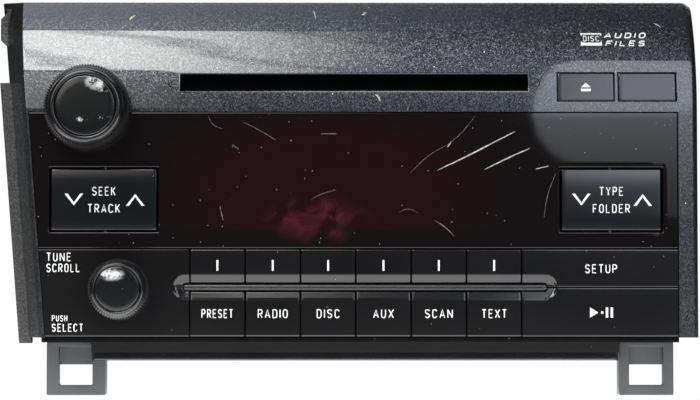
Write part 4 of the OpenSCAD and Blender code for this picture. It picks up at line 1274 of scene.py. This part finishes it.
def shade_lamp(tree, light, axis, near, far, near_strength, far_strength):
    """Let a lamp's strength change smoothly along one axis. Returns the strength."""
    place = add(tree, "SeparateXYZ", {"Vector": add(tree, "TexCoord").outputs["Object"]})
    ramp = add(tree, "MapRange", {"Value": place.outputs[axis], "From Min": near, "From Max": far,
                                  "To Min": near_strength, "To Max": far_strength},
               interpolation_type="SMOOTHSTEP")
    tree.links.new(ramp.outputs["Result"], light.inputs["Strength"])
    return ramp.outputs["Result"]


# %% [markdown]
# The softbox lies in the rolled top band and fades to the right. Its cloth hangs in curved folds, a
# bent wave pattern that dims it, and the lacquer mirrors them.
# %% Softbox
softbox_outline = [(-420, 55.2), (22, 53.7), (45, 48.5), (68, 41), (60, 37.5), (-45, 36.5), (-68, 39.4),
                   (-420, 39.8)]
softbox_corners = mirror_outline(softbox_outline, 1100 * mm)
softbox_paint, softbox_tree, softbox_light = lamp_finish("softbox_cloth", "fffefa", 8.0)
softbox_fade = shade_lamp(softbox_tree, softbox_light, "X", -210 * mm, 70 * mm, 13, 0.03)
fold_turn = add(softbox_tree, "Mapping", {"Vector": add(softbox_tree, "TexCoord").outputs["Object"],
                                          "Rotation": (0, math.radians(-63), 0)})
folds = add(softbox_tree, "TexWave", {"Vector": fold_turn.outputs["Vector"], "Scale": 1.8,
                                      "Distortion": 5.0, "Detail": 2.0, "Detail Scale": 1.2,
                                      "Detail Roughness": 0.6}, bands_direction="Z")
fold_shade = add(softbox_tree, "MapRange", {"Value": folds.outputs["Fac"], "From Max": 0.3, "To Min": 0.5})
cloth_strength = add(softbox_tree, "Math", {0: softbox_fade, 1: fold_shade.outputs["Result"]},
                     operation="MULTIPLY")
softbox_tree.links.new(cloth_strength.outputs[0], softbox_light.inputs["Strength"])
lamp("softbox", softbox_corners, softbox_paint)

# %% [markdown]
# Four smaller lamps finish the light: a side lamp whose rounded shape lies at the right of the front,
# a faint ceiling above the softbox, the softbox's skirt below it, and a rear lamp for the chassis.
# %% Smaller lamps
side_outline = [(63, 24), (65, 16), (70, 9.5), (77, 5.5), (88, 4.5), (105, 4.5), (107, -13), (330, -13),
                (330, 42.8), (78, 42.8), (71, 41), (67, 36), (64, 30)]
side_corners = mirror_outline(side_outline, 1000 * mm)
side_low = min(p.z for p in side_corners)
side_paint, side_tree, side_light = lamp_finish("side_lamp_cloth", "eef3ff", 2.0)
shade_lamp(side_tree, side_light, "Z", side_low, side_low + 150 * mm, 0.6, 4.0)
lamp("side_lamp", side_corners, side_paint)

ceiling_outline = [(-420, 55.6), (22, 54.2), (125, 52), (125, 65), (-420, 65)]
ceiling_paint, ceiling_tree, ceiling_light = lamp_finish("ceiling_cloth", "e4efff", 2.0)
shade_lamp(ceiling_tree, ceiling_light, "X", -320 * mm, 200 * mm, 2.1, 0.1)
lamp("ceiling", mirror_outline(ceiling_outline, 1000 * mm), ceiling_paint)

skirt_outline = [(-420, 39.2), (-70, 38.8), (-50, 36), (-45, 25.5), (-420, 25.5)]
skirt_paint, skirt_tree, skirt_light = lamp_finish("softbox_skirt_cloth", "fffdf8", 1.0)
shade_lamp(skirt_tree, skirt_light, "X", -330 * mm, -90 * mm, 3.0, 0.2)
lamp("softbox_skirt", mirror_outline(skirt_outline, 1300 * mm), skirt_paint)

rear_corners = [Vector(p) for p in ((-0.5, 0.3, 0.75), (0.5, 0.3, 0.75), (0.5, 1.1, 0.2), (-0.5, 1.1, 0.2))]
lamp("rear_lamp", rear_corners, lamp_finish("rear_lamp_cloth", "fbfcff", 1.6)[0])

# %% [markdown]
# The floor is lit paper. It is brightest just behind the radio and fades to the front and the sides,
# so the glossy keys mirror it softly. To the camera it is plain white all over, as a product shot wants.
# %% Floor
floor_half = 0.9
floor_z = cad_bounds[0][2]
floor_bm = bmesh.new()
bmesh.ops.create_grid(floor_bm, x_segments=24, y_segments=24, size=floor_half)
floor = from_bmesh("floor", floor_bm, closed=False)
floor_drop = 0.2 * mm
floor.location = (0, 0.05, floor_z - floor_drop)
floor_paint, floor_tree, floor_light = lamp_finish("floor_paper", "ffffff", 1.6)
floor_place = add(floor_tree, "TexCoord").outputs["Object"]
floor_axes = add(floor_tree, "SeparateXYZ", {"Vector": floor_place})
floor_depth = floor_axes.outputs["Y"]
front_pool = add(floor_tree, "MapRange", {"Value": floor_depth, "From Min": -400 * mm, "From Max": -150 * mm,
                                          "To Min": 0.12, "To Max": 1.0}, interpolation_type="SMOOTHSTEP")
rear_paper = add(floor_tree, "MapRange", {"Value": floor_depth, "From Min": -60 * mm, "From Max": 80 * mm,
                                          "To Min": 3.3, "To Max": 1.15}, interpolation_type="SMOOTHSTEP")
floor_strength = add(floor_tree, "Math", {0: front_pool.outputs["Result"], 1: rear_paper.outputs["Result"]},
                     operation="MULTIPLY")
aside = add(floor_tree, "Math", {0: floor_axes.outputs["X"]}, operation="ABSOLUTE")
side_fade = add(floor_tree, "MapRange", {"Value": aside.outputs[0], "From Min": 160 * mm,
                                         "From Max": 360 * mm, "To Min": 1.0, "To Max": 0.03},
                interpolation_type="SMOOTHSTEP")
side_strength = add(floor_tree, "Math", {0: floor_strength.outputs[0], 1: side_fade.outputs["Result"]},
                    operation="MULTIPLY")
seen = add(floor_tree, "LightPath").outputs["Is Camera Ray"]
paper_strength = add(floor_tree, "Mix", {0: seen, 2: side_strength.outputs[0], 3: 1.0}, data_type="FLOAT")
floor_tree.links.new(paper_strength.outputs[0], floor_light.inputs["Strength"])
floor.data.materials.append(floor_paint)

# %% [markdown]
# The room is dim, so that the lamps alone shape the reflections. The camera sees it as plain white.
# %% Room
world = bpy.data.worlds.new("room")
scene.world = world
world.use_nodes = True
room = world.node_tree
room.nodes.clear()
view_only = add(room, "LightPath")
backdrop = add(room, "Background", {"Color": (1, 1, 1, 1), "Strength": 1.0})
walls = add(room, "Background", {"Color": tone("c9ced3"), "Strength": 0.06})
choose = add(room, "MixShader", {0: view_only.outputs["Is Camera Ray"], 1: walls.outputs[0],
                                 2: backdrop.outputs[0]})
room_out = add(room, "OutputWorld")
room.links.new(choose.outputs[0], room_out.inputs["Surface"])
scene.view_settings.view_transform = "Standard"
